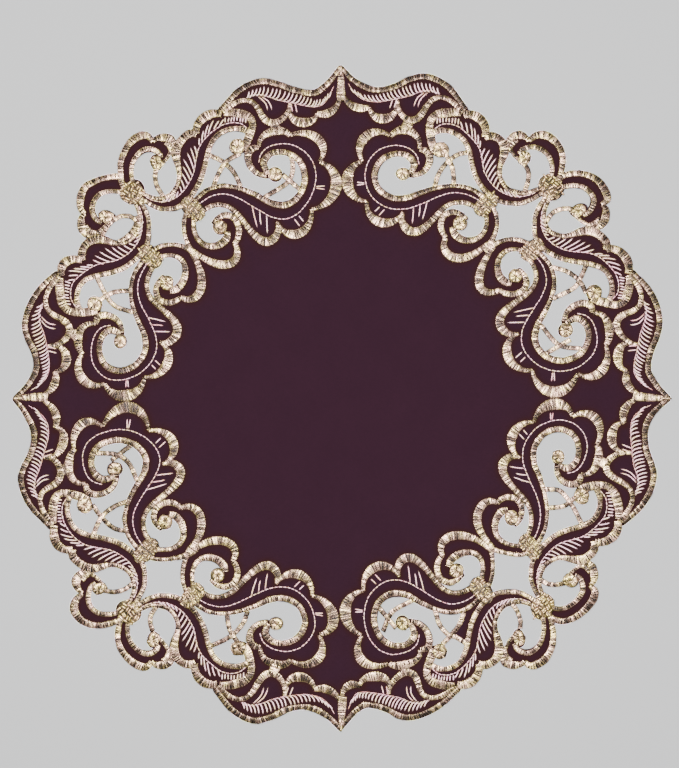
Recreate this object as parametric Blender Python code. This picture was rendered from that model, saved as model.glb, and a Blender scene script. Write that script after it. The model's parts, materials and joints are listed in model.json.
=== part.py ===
"""Round cutwork doily: one flat cut cloth, edged with embroidered scrolls.

The cloth is one piece. Its border is a scroll motif that repeats eight times:
half of a quarter is drawn once, on the right of the top cusp, and is mirrored
and turned into the other places, each a little uneven, as hand work is. The
cloth is cut away outside the outermost scrolls, and inside the openings that
the scrolls enclose.

Frame: metres, +Z up, origin at the centre of the underside, +Y towards the
top cusp, +X to the right.
"""

import math

import bmesh
import bpy
import numpy as np
from mathutils.geometry import delaunay_2d_cdt

# ---------------------------------------------------------------- sizes (mm)
CLOTH_WIDTH = 400.0        # tip of the left cusp to tip of the right cusp
THICKNESS = 1.5            # cloth with its raised satin stitching
OUTLINE_SAG = 0.14         # how far a facet of the edge may stray from its curve
SHORTEST_EDGE = 0.9        # two points of the edge are at least this far apart
SMALLEST_OPENING = 30.0    # mm2; a smaller gap between scrolls stays cloth

# The motif is drawn in units, of which 658.1 span the cloth from cusp to cusp.
# x runs from the cusp's axis to the right, y from the centre to the cusp.
WIDTH_UNITS = 658.1
MM = CLOTH_WIDTH / WIDTH_UNITS
MIDDLE = (0.52, 0.56)      # middle of the cloth's box, right of and above the centre

# ------------------------------------------------------- motif: round lobes
# Each lobe is an arc from one notch, over its crown, to the next notch.
# columns: name, then x, y, width at the start, the crown and the end
LOBES = [
    ("scallop_one", (122, 283.5, 7.0), (137, 281.0, 9.5), (144, 261.0, 7.0)),
    ("hook_lobe", (167.5, 256.5, 6.0), (177.5, 263.5, 8.5), (187.8, 257.0, 4.0)),
    ("petal_one", (49, 261.5, 5.0), (62.5, 268.5, 8.5), (78.5, 249.0, 4.0)),
]

# ------------------------------------------------------ motif: scroll lines
# columns: x, y, width of the stitching there
SCROLLS = {
    # outer edge of the leaf beside the cusp
    "leaf_edge": [
        (0.5, 330.5, 4.5), (12, 318.5, 5.5), (27, 310, 6.0), (39, 308.5, 5.5),
        (53, 311.5, 6.0), (69, 319, 6.0), (82, 322, 6.0), (95, 319, 6.0),
        (109, 309.5, 6.0), (125, 288.5, 5.0)],
    # second scallop, running on as the oval opening's near side
    "scallop_two": [
        (143, 260, 5.0), (149.5, 262.5, 8.0), (156.5, 260.5, 8.0), (162, 254.5, 8.5),
        (163.5, 247, 9.0), (161.5, 239, 7.0), (159, 231, 5.0), (158.8, 223, 4.5),
        (162, 215, 4.5), (168, 208.7, 4.5), (176, 206, 4.5), (186, 205.5, 4.0),
        (198, 209.5, 4.0), (205, 211, 4.5)],
    # crown of the hook beside the diagonal
    "hook_crown": [
        (187.8, 257, 4.0), (193, 262, 6.5), (200, 263.8, 8.0), (208, 261.5, 8.0),
        (215.5, 255.5, 7.0), (220, 248, 6.5), (221.8, 240, 6.0), (221, 231, 6.0),
        (218.5, 222, 5.0), (215, 217, 5.0)],
    "hook_side": [
        (167, 257.5, 3.5), (168.8, 250, 3.5), (173, 243, 3.5), (179, 237.5, 3.5),
        (184, 233, 3.5)],
    "hook_inside": [
        (178, 244, 4.0), (181, 248.5, 5.0), (187, 251, 5.0), (194, 251.2, 5.0),
        (201, 248.5, 4.8), (207, 243, 4.6), (210.3, 236, 4.5), (211, 228, 4.5),
        (210, 221, 4.5)],
    # long S band from the upper curl down to the diagonal
    "band": [
        (90, 264, 5.0), (96, 267.5, 6.5), (105, 267.7, 5.0), (114, 265, 5.0),
        (123, 258, 5.0), (128.5, 246, 5.0), (131, 234, 5.0), (135.5, 220, 5.0),
        (143, 209, 5.0), (152, 201, 5.0), (161, 196.3, 4.5), (171, 194.8, 4.5),
        (181, 195.3, 4.5), (190, 198.7, 4.5), (199, 203.8, 4.5), (206, 208, 4.5)],
    "curl": [
        (121, 284, 5.0), (113, 286, 8.0), (105, 285.5, 9.0), (97, 284, 8.5),
        (90.5, 279, 7.5), (88.5, 271, 7.5), (89.8, 261, 8.5), (91.5, 253, 8.5),
        (94.5, 246.5, 8.0)],
    "flame": [
        (78, 249, 4.0), (84.5, 247.5, 6.5), (88.3, 242, 7.0), (88, 235, 6.5),
        (85, 229, 6.0), (79, 224.5, 5.0), (70, 223, 5.0)],
    # big spiral, and the long S that runs from it to the lower knot
    "spiral": [
        (69, 224, 5.0), (73, 234, 7.0), (66.5, 242.5, 6.0), (54, 244.5, 5.5),
        (40, 238, 6.0), (33.5, 223.5, 6.0), (38, 209, 6.0), (51, 200.7, 6.0),
        (67, 201, 5.8), (83, 207, 5.0), (99, 211.4, 4.2), (115, 212.7, 4.0),
        (130, 209.5, 4.2), (146, 199, 5.0)],
    # upper side of the small opening, coming from the lobes by the centre
    "under_s": [
        (92, 178.5, 6.0), (98, 185.5, 6.0), (104, 191, 5.0), (111, 194.8, 4.5), (119, 196, 4.5),
        (128, 194.5, 4.5), (136, 190.5, 4.5)],
    "small_ring": [
        (111, 172, 5.0), (113, 165.5, 7.5), (119, 160, 7.5), (127, 158, 6.5),
        (135, 159.5, 5.5), (142, 165.5, 4.8), (145.5, 174, 4.3), (145, 185, 4.0)],
    "small_tip": [
        (126, 179.5, 3.0), (120, 184, 5.0), (112, 186.5, 6.0), (105, 184.5, 6.0),
        (100.8, 179, 6.0)],
    "square_side": [
        (152, 191, 4.0), (155.5, 182, 4.2), (156, 173, 4.2), (154, 164.5, 4.5),
        (150.5, 157, 5.5), (147, 151.5, 6.5), (143, 147, 6.5)],
}

# --------------------------------------------- motif: filled ends and knots
# columns: name, x, y, half length, half width, lean in degrees
FILLED = [
    ("spiral_end", 62.0, 224.5, 7.3, 6.3, 0.0),
    ("curl_end", 99.8, 248.7, 8.0, 7.8, 0.0),
    ("hook_end", 183.5, 240.0, 6.2, 7.5, -30.0),
    ("small_end", 119.0, 175.0, 7.3, 7.0, 0.0),
    ("diagonal_knot", 209.5, 211.5, 13.5, 11.0, -45.0),
    ("lower_knot", 145.3, 194.2, 14.0, 9.0, 45.0),
]

# In some copies the hook's crown swings wide before it meets the knot.
# columns: copy, then the last x, y, width of the crown there
WIDE_CROWNS = {
    "left_upper": [(224.5, 240, 6.0), (227.5, 231, 6.0), (228.5, 224, 6.0), (227.5, 217.5, 5.0)],
    "top_left": [(223, 240, 6.0), (223.2, 231, 6.0), (222.5, 222, 6.0), (219, 214, 6.0)],
    "right_upper": [(222.6, 240, 6.0), (223.8, 231, 6.0), (223, 222, 6.0), (218, 215.5, 6.0)],
}
CROWN_KEPT = 6             # rows of the drawn crown that every copy shares

# A point in each opening, to tell cut-away cloth from kept cloth.
# columns: name, x, y
OPENINGS = [
    ("scroll_opening", 52.0, 222.0),
    ("small_opening", 134.0, 173.0),
    ("hook_opening", 200.0, 236.0),
    ("oval_opening", 173.0, 222.0),
    ("square_opening", 174.0, 176.0),
]


# The eight places: quarter turns to the left, and whether the half is mirrored.
# columns: name, quarter turns, mirrored
COPIES = [
    ("top_right", 0, False), ("top_left", 0, True),
    ("left_upper", 1, False), ("left_lower", 1, True),
    ("bottom_left", 2, False), ("bottom_right", 2, True),
    ("right_lower", 3, False), ("right_upper", 3, True),
]

# How uneven the copies are: the same marks of the motif as they lie in each one.
# columns: mark, then its (x, y) in top_right (the drawn one), top_left,
# left_upper, left_lower, bottom_left, bottom_right, right_lower, right_upper
MARKS = [
    ("cusp_tip", (0, 331.5), (0, 332.1), (0, 326.6), (0, 327.4),
     (0, 331.4), (0, 329.8), (0, 328.8), (0, 328.5)),
    ("cusp_shoulder", (20, 316), (20, 312.5), (20, 311.5), (20, 315.7),
     (20, 316.3), (20, 311.3), (20, 310.7), (20, 313.8)),
    ("leaf_dip", (39, 310.5), (33.2, 307.8), (35.2, 306.3), (40.8, 308.7),
     (39.4, 310.3), (32, 309.3), (39.2, 306.2), (33.6, 309.3)),
    ("leaf_crown", (83, 325), (79.3, 319.9), (74.2, 319.1), (81.4, 322.7),
     (84.7, 325.1), (67.8, 322), (79.8, 315.6), (77.4, 321.5)),
    ("leaf_foot", (126, 289), (121.5, 289.1), (126.6, 284.4), (129.8, 290.7),
     (126.9, 290.8), (118.5, 290.8), (125.9, 282), (127.4, 292.1)),
    ("scallop_notch", (149, 266.5), (148.8, 269.6), (143, 263.3), (155.6, 273.5),
     (150.4, 269.7), (142, 270.4), (147.8, 257.8), (153.9, 270.3)),
    ("scallop_end", (167, 261.5), (166, 259.4), (162.5, 257.9), (172, 261),
     (168.3, 265.8), (160.7, 265), (163.4, 251.5), (169.6, 260.9)),
    ("hook_lobe_crown", (179, 267.6), (175.6, 264.3), (174.4, 262.6), (183.5, 269.9),
     (178.5, 269), (171.2, 269), (176.8, 256), (181.6, 268.1)),
    ("hook_notch", (188.5, 261.5), (188.7, 261.7), (185.2, 261), (195.4, 262.6),
     (189.4, 268.1), (184.2, 268.1), (187.6, 253.8), (194.6, 266.3)),
    ("hook_crown", (201.6, 267.4), (199.1, 266.5), (201, 262.9), (208.9, 271),
     (199.1, 271.2), (196, 269), (197.9, 256.4), (203, 268.6)),
    ("hook_far", (225.5, 240), (222.6, 235.2), (219.6, 242.2), (230.6, 242.2),
     (226.6, 240.8), (215.4, 237.6), (226.7, 221.8), (227.4, 242.1)),
    ("diagonal_knot", (210.5, 211.2), (207.9, 206.3), (206.3, 207.9), (213.4, 211.8),
     (212.9, 213.4), (202.1, 207.9), (207.9, 201.5), (209.4, 210.1)),
    ("lower_knot", (146.3, 194.2), (149.5, 189.5), (143, 189.9), (154, 194.6),
     (149.6, 197), (142, 191.5), (150.1, 189), (149.2, 190.6)),
    ("spiral_end", (63, 224.5), (66.8, 224.2), (58.6, 220.4), (72, 225.8),
     (66, 225.1), (62.8, 224.3), (59.5, 217.1), (69.6, 224.6)),
    ("curl_end", (100.8, 248.7), (104.7, 252.1), (95.3, 246.2), (107.9, 256.3),
     (103.5, 249.3), (99.8, 253.3), (98.6, 240.6), (107.1, 253.1)),
    ("hook_end", (184.5, 240), (185.5, 235.2), (182.8, 233.7), (190.8, 241.5),
     (188.7, 240), (178.7, 238.4), (182.9, 228.8), (189.1, 236.7)),
    ("small_end", (120, 175), (121.9, 171.1), (116.4, 174.3), (124.3, 175.8),
     (124.6, 176.7), (116.2, 172), (120.4, 170.3), (123.5, 174.6)),
    ("petal_four_notch", (63, 186.5), (64.4, 176.6), (57.1, 181.3), (66.5, 178.2),
     (66, 185.8), (59.2, 178.3), (60.3, 178.8), (65.7, 177.3)),
    ("petal_two_notch", (22, 237), (22.2, 236.7), (15.7, 236), (29, 238.3),
     (23, 236.1), (21.7, 236.8), (18.9, 231.2), (25.8, 236.7)),
    ("petal_three", (2.2, 217), (-0.4, 213.3), (-0.8, 215.7), (3.3, 212.6),
     (3.5, 220.4), (0, 214), (1.7, 214), (1.6, 214)),
    ("inner_dip", (74, 162), (77.4, 152.4), (71.1, 159.4), (78.3, 156.3),
     (75.4, 162.6), (70.1, 154.8), (70.4, 157.4), (80.5, 154.6)),
    ("small_lobe", (118, 136), (116, 129.4), (113.3, 135.2), (125.1, 135.2),
     (120.7, 137.9), (117, 132.6), (120.4, 132), (118, 133.5)),
    ("band_belly", (171.0, 192.5), (172.1, 187.1), (168.6, 190.0), (177.4, 193.8),
     (174.4, 194.7), (166.6, 191.1), (172.6, 187.8), (172.8, 191.3)),
    ("square_side", (158.0, 173.0), (158.5, 166.0), (155.9, 167.0), (162.3, 171.3),
     (160.0, 173.7), (153.6, 168.0), (156.8, 169.0), (161.1, 169.4)),
    ("joint", (145, 151), (144.6, 143), (143, 145.4), (151.7, 148.5),
     (148.8, 150.1), (145.9, 145.4), (147, 147.6), (149.2, 148.4)),
]


# -------------------------------------------------------------- plane shapes
def smooth_line(rows, step):
    """Points (x, y, width) about one step apart on a smooth line through the rows."""
    p = np.array(rows, float)
    p = np.vstack([2 * p[0] - p[1], p, 2 * p[-1] - p[-2]])
    line = []
    for p0, p1, p2, p3 in zip(p, p[1:], p[2:], p[3:]):
        t1 = math.sqrt(np.hypot(*(p1 - p0)[:2]))
        t2 = t1 + math.sqrt(np.hypot(*(p2 - p1)[:2]))
        t3 = t2 + math.sqrt(np.hypot(*(p3 - p2)[:2]))
        count = max(2, round(np.hypot(*(p2 - p1)[:2]) / step))
        for t in np.linspace(t1, t2, count, endpoint=False):
            a1 = (t1 - t) / t1 * p0 + t / t1 * p1
            a2 = (t2 - t) / (t2 - t1) * p1 + (t - t1) / (t2 - t1) * p2
            a3 = (t3 - t) / (t3 - t2) * p2 + (t - t2) / (t3 - t2) * p3
            b1 = (t2 - t) / t2 * a1 + t / t2 * a2
            b2 = (t3 - t) / (t3 - t1) * a2 + (t - t1) / (t3 - t1) * a3
            line.append((t2 - t) / (t2 - t1) * b1 + (t - t1) / (t2 - t1) * b2)
    line.append(p[-2])
    return np.array(line)


def lobe_line(start, crown, end, step):
    """Points (x, y, width) on the round arc from start over crown to end."""
    (ax, ay, aw), (cx, cy, cw), (ex, ey, ew) = start, crown, end
    d = 2 * (ax * (cy - ey) + cx * (ey - ay) + ex * (ay - cy))
    a2, c2, e2 = ax * ax + ay * ay, cx * cx + cy * cy, ex * ex + ey * ey
    ox = (a2 * (cy - ey) + c2 * (ey - ay) + e2 * (ay - cy)) / d
    oy = (a2 * (ex - cx) + c2 * (ax - ex) + e2 * (cx - ax)) / d
    radius = math.hypot(ax - ox, ay - oy)
    first, mid, last = (math.atan2(y - oy, x - ox) for x, y in ((ax, ay), (cx, cy), (ex, ey)))
    turn = 1 if (mid - first) % (2 * math.pi) < (last - first) % (2 * math.pi) else -1
    sweep = ((last - first) * turn) % (2 * math.pi)
    crown_at = ((mid - first) * turn) % (2 * math.pi) / sweep
    line = []
    for k in np.linspace(0, 1, max(6, round(radius * sweep / step)) + 1):
        if k < crown_at:
            near, share = aw, 0.5 - 0.5 * math.cos(math.pi * k / crown_at)
        else:
            near, share = ew, 0.5 + 0.5 * math.cos(math.pi * (k - crown_at) / (1 - crown_at))
        angle = first + turn * sweep * k
        line.append((ox + radius * math.cos(angle), oy + radius * math.sin(angle),
                     near + (cw - near) * share))
    return np.array(line)


def ribbon(line):
    """Closed outline of a stroke: its two sides, with a rounded cap at each end."""
    along = np.gradient(line[:, :2], axis=0)
    along /= np.linalg.norm(along, axis=1)[:, None]
    side = np.stack([-along[:, 1], along[:, 0]], axis=1)
    half = line[:, 2:] / 2
    left, right = line[:, :2] + side * half, line[:, :2] - side * half
    bows = np.sin(np.radians([35, 90, 145])), np.cos(np.radians([35, 90, 145]))
    head = [line[-1, :2] + half[-1] * (along[-1] * s + side[-1] * c) for s, c in zip(*bows)]
    tail = [line[0, :2] - half[0] * (along[0] * s + side[0] * c) for s, c in zip(*bows)]
    return np.vstack([left, head, right[::-1], tail])


def oval(x, y, half_length, half_width, lean):
    turn = math.radians(lean)
    around = np.linspace(0, 2 * math.pi, 25)[:-1]
    a, b = half_length * np.cos(around), half_width * np.sin(around)
    return np.stack([x + a * math.cos(turn) - b * math.sin(turn),
                     y + a * math.sin(turn) + b * math.cos(turn)], axis=1)


def motif_shapes(copy):
    """Outlines of every stroke and knot of one half motif, in drawing units."""
    step = 2.2
    strokes = dict(SCROLLS)
    if COPIES[copy][0] in WIDE_CROWNS:
        strokes["hook_crown"] = strokes["hook_crown"][:CROWN_KEPT] + WIDE_CROWNS[COPIES[copy][0]]
    shapes = [ribbon(lobe_line(*row[1:], step)) for row in LOBES]
    shapes += [ribbon(smooth_line(rows, step)) for rows in strokes.values()]
    shapes += [oval(*row[1:]) for row in FILLED]
    return shapes


def bending(points, anchors):
    """Thin plate terms of each point against each anchor, with the plane terms."""
    gap = np.linalg.norm(points[:, None, :] - anchors[None, :, :], axis=2)
    plate = gap * gap * np.log(np.maximum(gap, 1e-9))
    return np.hstack([plate, np.ones((len(points), 1)), points])


def unevenness(copy):
    """Weights of the smooth warp that takes the drawn marks to those of a copy."""
    drawn = np.array([row[1] for row in MARKS], float) / 100
    there = np.array([row[1 + copy] for row in MARKS], float) / 100
    count = len(drawn)
    system = np.zeros((count + 3, count + 3))
    system[:count] = bending(drawn, drawn)
    system[:count, :count] += 0.004 * np.eye(count)
    system[count:, :count] = np.hstack([np.ones((count, 1)), drawn]).T
    return np.linalg.solve(system, np.vstack([there - drawn, np.zeros((3, 2))]))


def placed(points, copy):
    """Drawing units to millimetres, in one of the eight places round the cloth."""
    drawn = np.array([row[1] for row in MARKS], float) / 100
    points = points + 100 * bending(points / 100, drawn) @ unevenness(copy)
    _, quarter, mirrored = COPIES[copy]
    x, y = points[:, 0] * (-1 if mirrored else 1), points[:, 1]
    for _ in range(quarter):
        x, y = -y, x
    return np.stack([x - MIDDLE[0], y - MIDDLE[1]], axis=1) * MM


def inside(points, outline):
    """True for each point that lies inside the closed outline."""
    x, y = points[:, 0], points[:, 1]
    result = np.zeros(len(points), bool)
    low, high = outline.min(axis=0), outline.max(axis=0)
    near = (x > low[0]) & (x < high[0]) & (y > low[1]) & (y < high[1])
    if not near.any():
        return result
    x, y = x[near], y[near]
    winding = np.zeros(len(x), int)
    for (x0, y0), (x1, y1) in zip(outline, np.roll(outline, -1, axis=0)):
        if y0 == y1:
            continue
        crosses = (y0 <= y) != (y1 <= y)
        at = x0 + (y - y0) * (x1 - x0) / (y1 - y0)
        winding += np.where(crosses & (at > x), 1 if y1 > y0 else -1, 0)
    result[near] = winding != 0
    return result


def triangulated(outlines, kind):
    """Constrained triangles over the closed outlines."""
    points, edges = [], []
    for outline in outlines:
        first = len(points)
        points += [tuple(map(float, p)) for p in outline]
        count = len(outline)
        edges += [(first + i, first + (i + 1) % count) for i in range(count)]
    verts, _, faces, *_ = delaunay_2d_cdt(points, edges, [], kind, 1e-4)
    return np.array([tuple(v) for v in verts]), np.array([tuple(f) for f in faces])


def kept_loops(shapes, seeds):
    """Edge loops of the cloth: what neither the outside nor a seed point can reach."""
    frame = CLOTH_WIDTH * 0.6
    corner = np.array([(-frame, -frame), (frame, -frame), (frame, frame), (-frame, frame)])
    verts, tris = triangulated(shapes + [corner], 0)
    middles = verts[tris].mean(axis=1)
    stitched = np.zeros(len(tris), bool)
    for shape in shapes:
        stitched |= inside(middles, shape)
    owners = {}
    for index, tri in enumerate(tris):
        for i in range(3):
            a, b = tri[i], tri[(i + 1) % 3]
            owners.setdefault((min(a, b), max(a, b)), []).append(index)
    neighbours = [[] for _ in tris]
    for pair in owners.values():
        if len(pair) == 2:
            neighbours[pair[0]].append(pair[1])
            neighbours[pair[1]].append(pair[0])
    away = np.zeros(len(tris), bool)
    todo = [int(np.argmin(np.linalg.norm(middles - s, axis=1))) for s in [corner[0], *seeds]]
    while todo:
        index = todo.pop()
        if away[index] or stitched[index]:
            continue
        away[index] = True
        todo += neighbours[index]
    following = {}
    for tri, gone in zip(tris, away):
        if gone:
            continue
        for i in range(3):
            a, b = int(tri[i]), int(tri[(i + 1) % 3])
            pair = owners[(min(a, b), max(a, b))]
            if len(pair) == 1 or away[pair[0]] != away[pair[1]]:
                following.setdefault(a, []).append(b)
    loops = []
    while following:
        start = next(iter(following))
        loop, here, came = [start], start, None
        while True:
            ways = following[here]
            if len(ways) > 1 and came is not None:
                back = verts[here] - verts[came]
                def bend(n):
                    on = verts[n] - verts[here]
                    return math.atan2(back[0] * on[1] - back[1] * on[0], back @ on)
                ways.sort(key=bend)
            step = ways.pop()
            if not ways:
                del following[here]
            if step == start:
                break
            loop.append(step)
            came, here = here, step
        loops.append(verts[loop])
    return loops


def area(loop):
    x, y = loop[:, 0], loop[:, 1]
    return 0.5 * float(np.sum(x * np.roll(y, -1) - np.roll(x, -1) * y))


def simplified(loop):
    """The loop with as few points as keep it within OUTLINE_SAG of its curve."""
    kept = [loop[0]]
    for point in loop[1:]:
        if np.linalg.norm(point - kept[-1]) >= SHORTEST_EDGE:
            kept.append(point)
    if np.linalg.norm(kept[0] - kept[-1]) < SHORTEST_EDGE:
        kept.pop()
    loop = np.array(kept)
    far = int(np.argmax(np.linalg.norm(loop - loop[0], axis=1)))
    closed = np.vstack([loop, loop[:1]])
    keep = {0, far, len(loop)}
    todo = [(0, far), (far, len(loop))]
    while todo:
        a, b = todo.pop()
        if b - a < 2:
            continue
        chord = closed[b] - closed[a]
        off = closed[a + 1:b] - closed[a]
        length = max(np.linalg.norm(chord), 1e-9)
        stray = np.abs(chord[0] * off[:, 1] - chord[1] * off[:, 0]) / length
        worst = int(np.argmax(stray))
        if stray[worst] > OUTLINE_SAG:
            keep.add(a + 1 + worst)
            todo += [(a, a + 1 + worst), (a + 1 + worst, b)]
    return closed[sorted(keep)[:-1]]


def cloth_loops():
    """Outer edge first, then the openings, each simplified, in millimetres."""
    shapes, seeds = [], []
    seed_points = np.array([row[1:] for row in OPENINGS], float)
    for copy in range(len(COPIES)):
        shapes += [placed(shape, copy) for shape in motif_shapes(copy)]
        seeds += list(placed(seed_points, copy))
    loops = sorted(kept_loops(shapes, seeds), key=lambda loop: -abs(area(loop)))
    outer, holes = loops[0], [loop for loop in loops[1:] if -area(loop) > SMALLEST_OPENING]
    return [simplified(outer)] + [simplified(hole) for hole in holes]


def sheet_mesh(name, loops, thickness):
    """A flat closed solid with the outline loops[0] and the other loops cut out."""
    verts, tris = triangulated(loops, 1)
    middles = verts[tris].mean(axis=1)
    solid = inside(middles, loops[0])
    for hole in loops[1:]:
        solid &= ~inside(middles, hole)
    tris = tris[solid]
    bm = bmesh.new()
    low = [bm.verts.new((x / 1000, y / 1000, 0.0)) for x, y in verts]
    high = [bm.verts.new((x / 1000, y / 1000, thickness / 1000)) for x, y in verts]
    rim = {}
    for tri in tris:
        a, b, c = (int(i) for i in tri)
        if area(verts[[a, b, c]]) < 0:
            b, c = c, b
        bm.faces.new((high[a], high[b], high[c]))
        bm.faces.new((low[a], low[c], low[b]))
        for p, q in ((a, b), (b, c), (c, a)):
            if (q, p) in rim:
                del rim[(q, p)]
            else:
                rim[(p, q)] = True
    for p, q in rim:
        bm.faces.new((low[p], low[q], high[q], high[p]))
    for vert in [v for v in bm.verts if not v.link_faces]:
        bm.verts.remove(vert)
    bmesh.ops.triangulate(bm, faces=[f for f in bm.faces if len(f.verts) > 3])
    mesh = bpy.data.meshes.new(name)
    bm.to_mesh(mesh)
    bm.free()
    return mesh


def cloth_material():
    material = bpy.data.materials.new("plum_cloth")
    material.use_nodes = True
    surface = material.node_tree.nodes["Principled BSDF"]
    surface.inputs["Base Color"].default_value = (0.048, 0.017, 0.032, 1.0)
    surface.inputs["Roughness"].default_value = 0.85
    surface.inputs["Metallic"].default_value = 0.0
    return material


def main():
    for old in list(bpy.data.objects):
        bpy.data.objects.remove(old, do_unlink=True)
    loops = cloth_loops()
    mesh = sheet_mesh("doily_cloth", loops, THICKNESS)
    mesh.materials.append(cloth_material())
    cloth = bpy.data.objects.new("doily_cloth", mesh)
    bpy.context.scene.collection.objects.link(cloth)
    mesh.shade_flat()
    return loops


main()
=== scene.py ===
"""Looks of the round cutwork doily: plum cloth, champagne satin scrolls, thread bars.

The border is one scroll motif in eight uneven copies. Half of a quarter is
drawn once, on the right of the top cusp. Every scroll is a column of satin
stitches, each one its own ridge of thread; the fine lines are running stitches.
Millimetres inside the functions, metres in the meshes.
"""
import json
import math

import bpy
import numpy as np
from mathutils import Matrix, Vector
from mathutils.geometry import delaunay_2d_cdt
from mathutils.kdtree import KDTree

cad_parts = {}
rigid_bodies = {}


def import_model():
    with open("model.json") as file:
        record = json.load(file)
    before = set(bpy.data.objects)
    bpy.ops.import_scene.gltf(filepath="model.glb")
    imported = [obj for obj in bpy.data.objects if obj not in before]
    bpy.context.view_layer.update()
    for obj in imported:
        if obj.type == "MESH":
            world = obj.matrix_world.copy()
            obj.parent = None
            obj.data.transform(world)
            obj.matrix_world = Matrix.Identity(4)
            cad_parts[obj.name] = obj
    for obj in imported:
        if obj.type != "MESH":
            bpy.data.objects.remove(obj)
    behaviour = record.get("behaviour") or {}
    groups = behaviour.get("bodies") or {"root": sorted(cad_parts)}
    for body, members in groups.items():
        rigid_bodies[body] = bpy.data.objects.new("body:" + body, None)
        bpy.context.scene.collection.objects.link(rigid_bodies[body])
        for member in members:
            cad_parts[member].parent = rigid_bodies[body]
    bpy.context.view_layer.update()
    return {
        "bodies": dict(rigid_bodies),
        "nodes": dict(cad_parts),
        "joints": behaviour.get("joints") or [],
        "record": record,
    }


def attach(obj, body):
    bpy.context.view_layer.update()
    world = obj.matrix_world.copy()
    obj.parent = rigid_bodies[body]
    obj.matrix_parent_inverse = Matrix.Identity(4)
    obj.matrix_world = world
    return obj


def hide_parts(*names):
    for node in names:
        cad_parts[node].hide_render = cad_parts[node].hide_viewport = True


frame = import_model()

# ---------------------------------------------------------------- sizes (mm)
CLOTH_WIDTH = 400.0
WIDTH_UNITS = 658.1        # drawing units from the left cusp to the right one
MM = CLOTH_WIDTH / WIDTH_UNITS
MIDDLE = (0.52, 0.56)      # middle of the cloth's box, right of and above the centre
CLOTH_LOW = 0.12           # underside of the bare cloth
CLOTH_TOP = 0.60           # upper face of the bare cloth
OUTLINE_SAG = 0.05
SHORTEST_EDGE = 0.5
SMALLEST_OPENING = 30.0

# ------------------------------------------- motif: satin scrolls, as drawn
# Round lobes: an arc from one notch, over its crown, to the next notch.
# columns: name, then x, y, width at the start, the crown and the end
LOBES = [
    ("leaf_lobe_one", (4, 299.5, 6.0), (17, 290.5, 7.5), (29, 291.5, 6.0)),
    ("leaf_lobe_two", (28, 291.5, 5.0), (42, 279.5, 10.5), (56, 294, 4.0)),
    ("petal_one", (49, 261.5, 5.0), (62.5, 268.5, 8.5), (78.5, 249.0, 4.0)),
    ("petal_two", (49, 262.5, 5.0), (23.5, 260.5, 8.5), (21.5, 237, 4.5)),
    ("petal_three", (21.5, 237, 5.0), (6.3, 217, 10.5), (26, 197, 4.5)),
    ("petal_four", (26, 197.5, 4.5), (41, 175.7, 8.5), (62, 187, 3.5)),
    ("scallop_one", (122, 283.5, 7.0), (137, 281.0, 9.5), (144, 261.0, 7.0)),
    ("hook_lobe", (167.5, 256.5, 6.0), (177.5, 263.5, 8.5), (187.8, 257.0, 4.0)),
]

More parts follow.
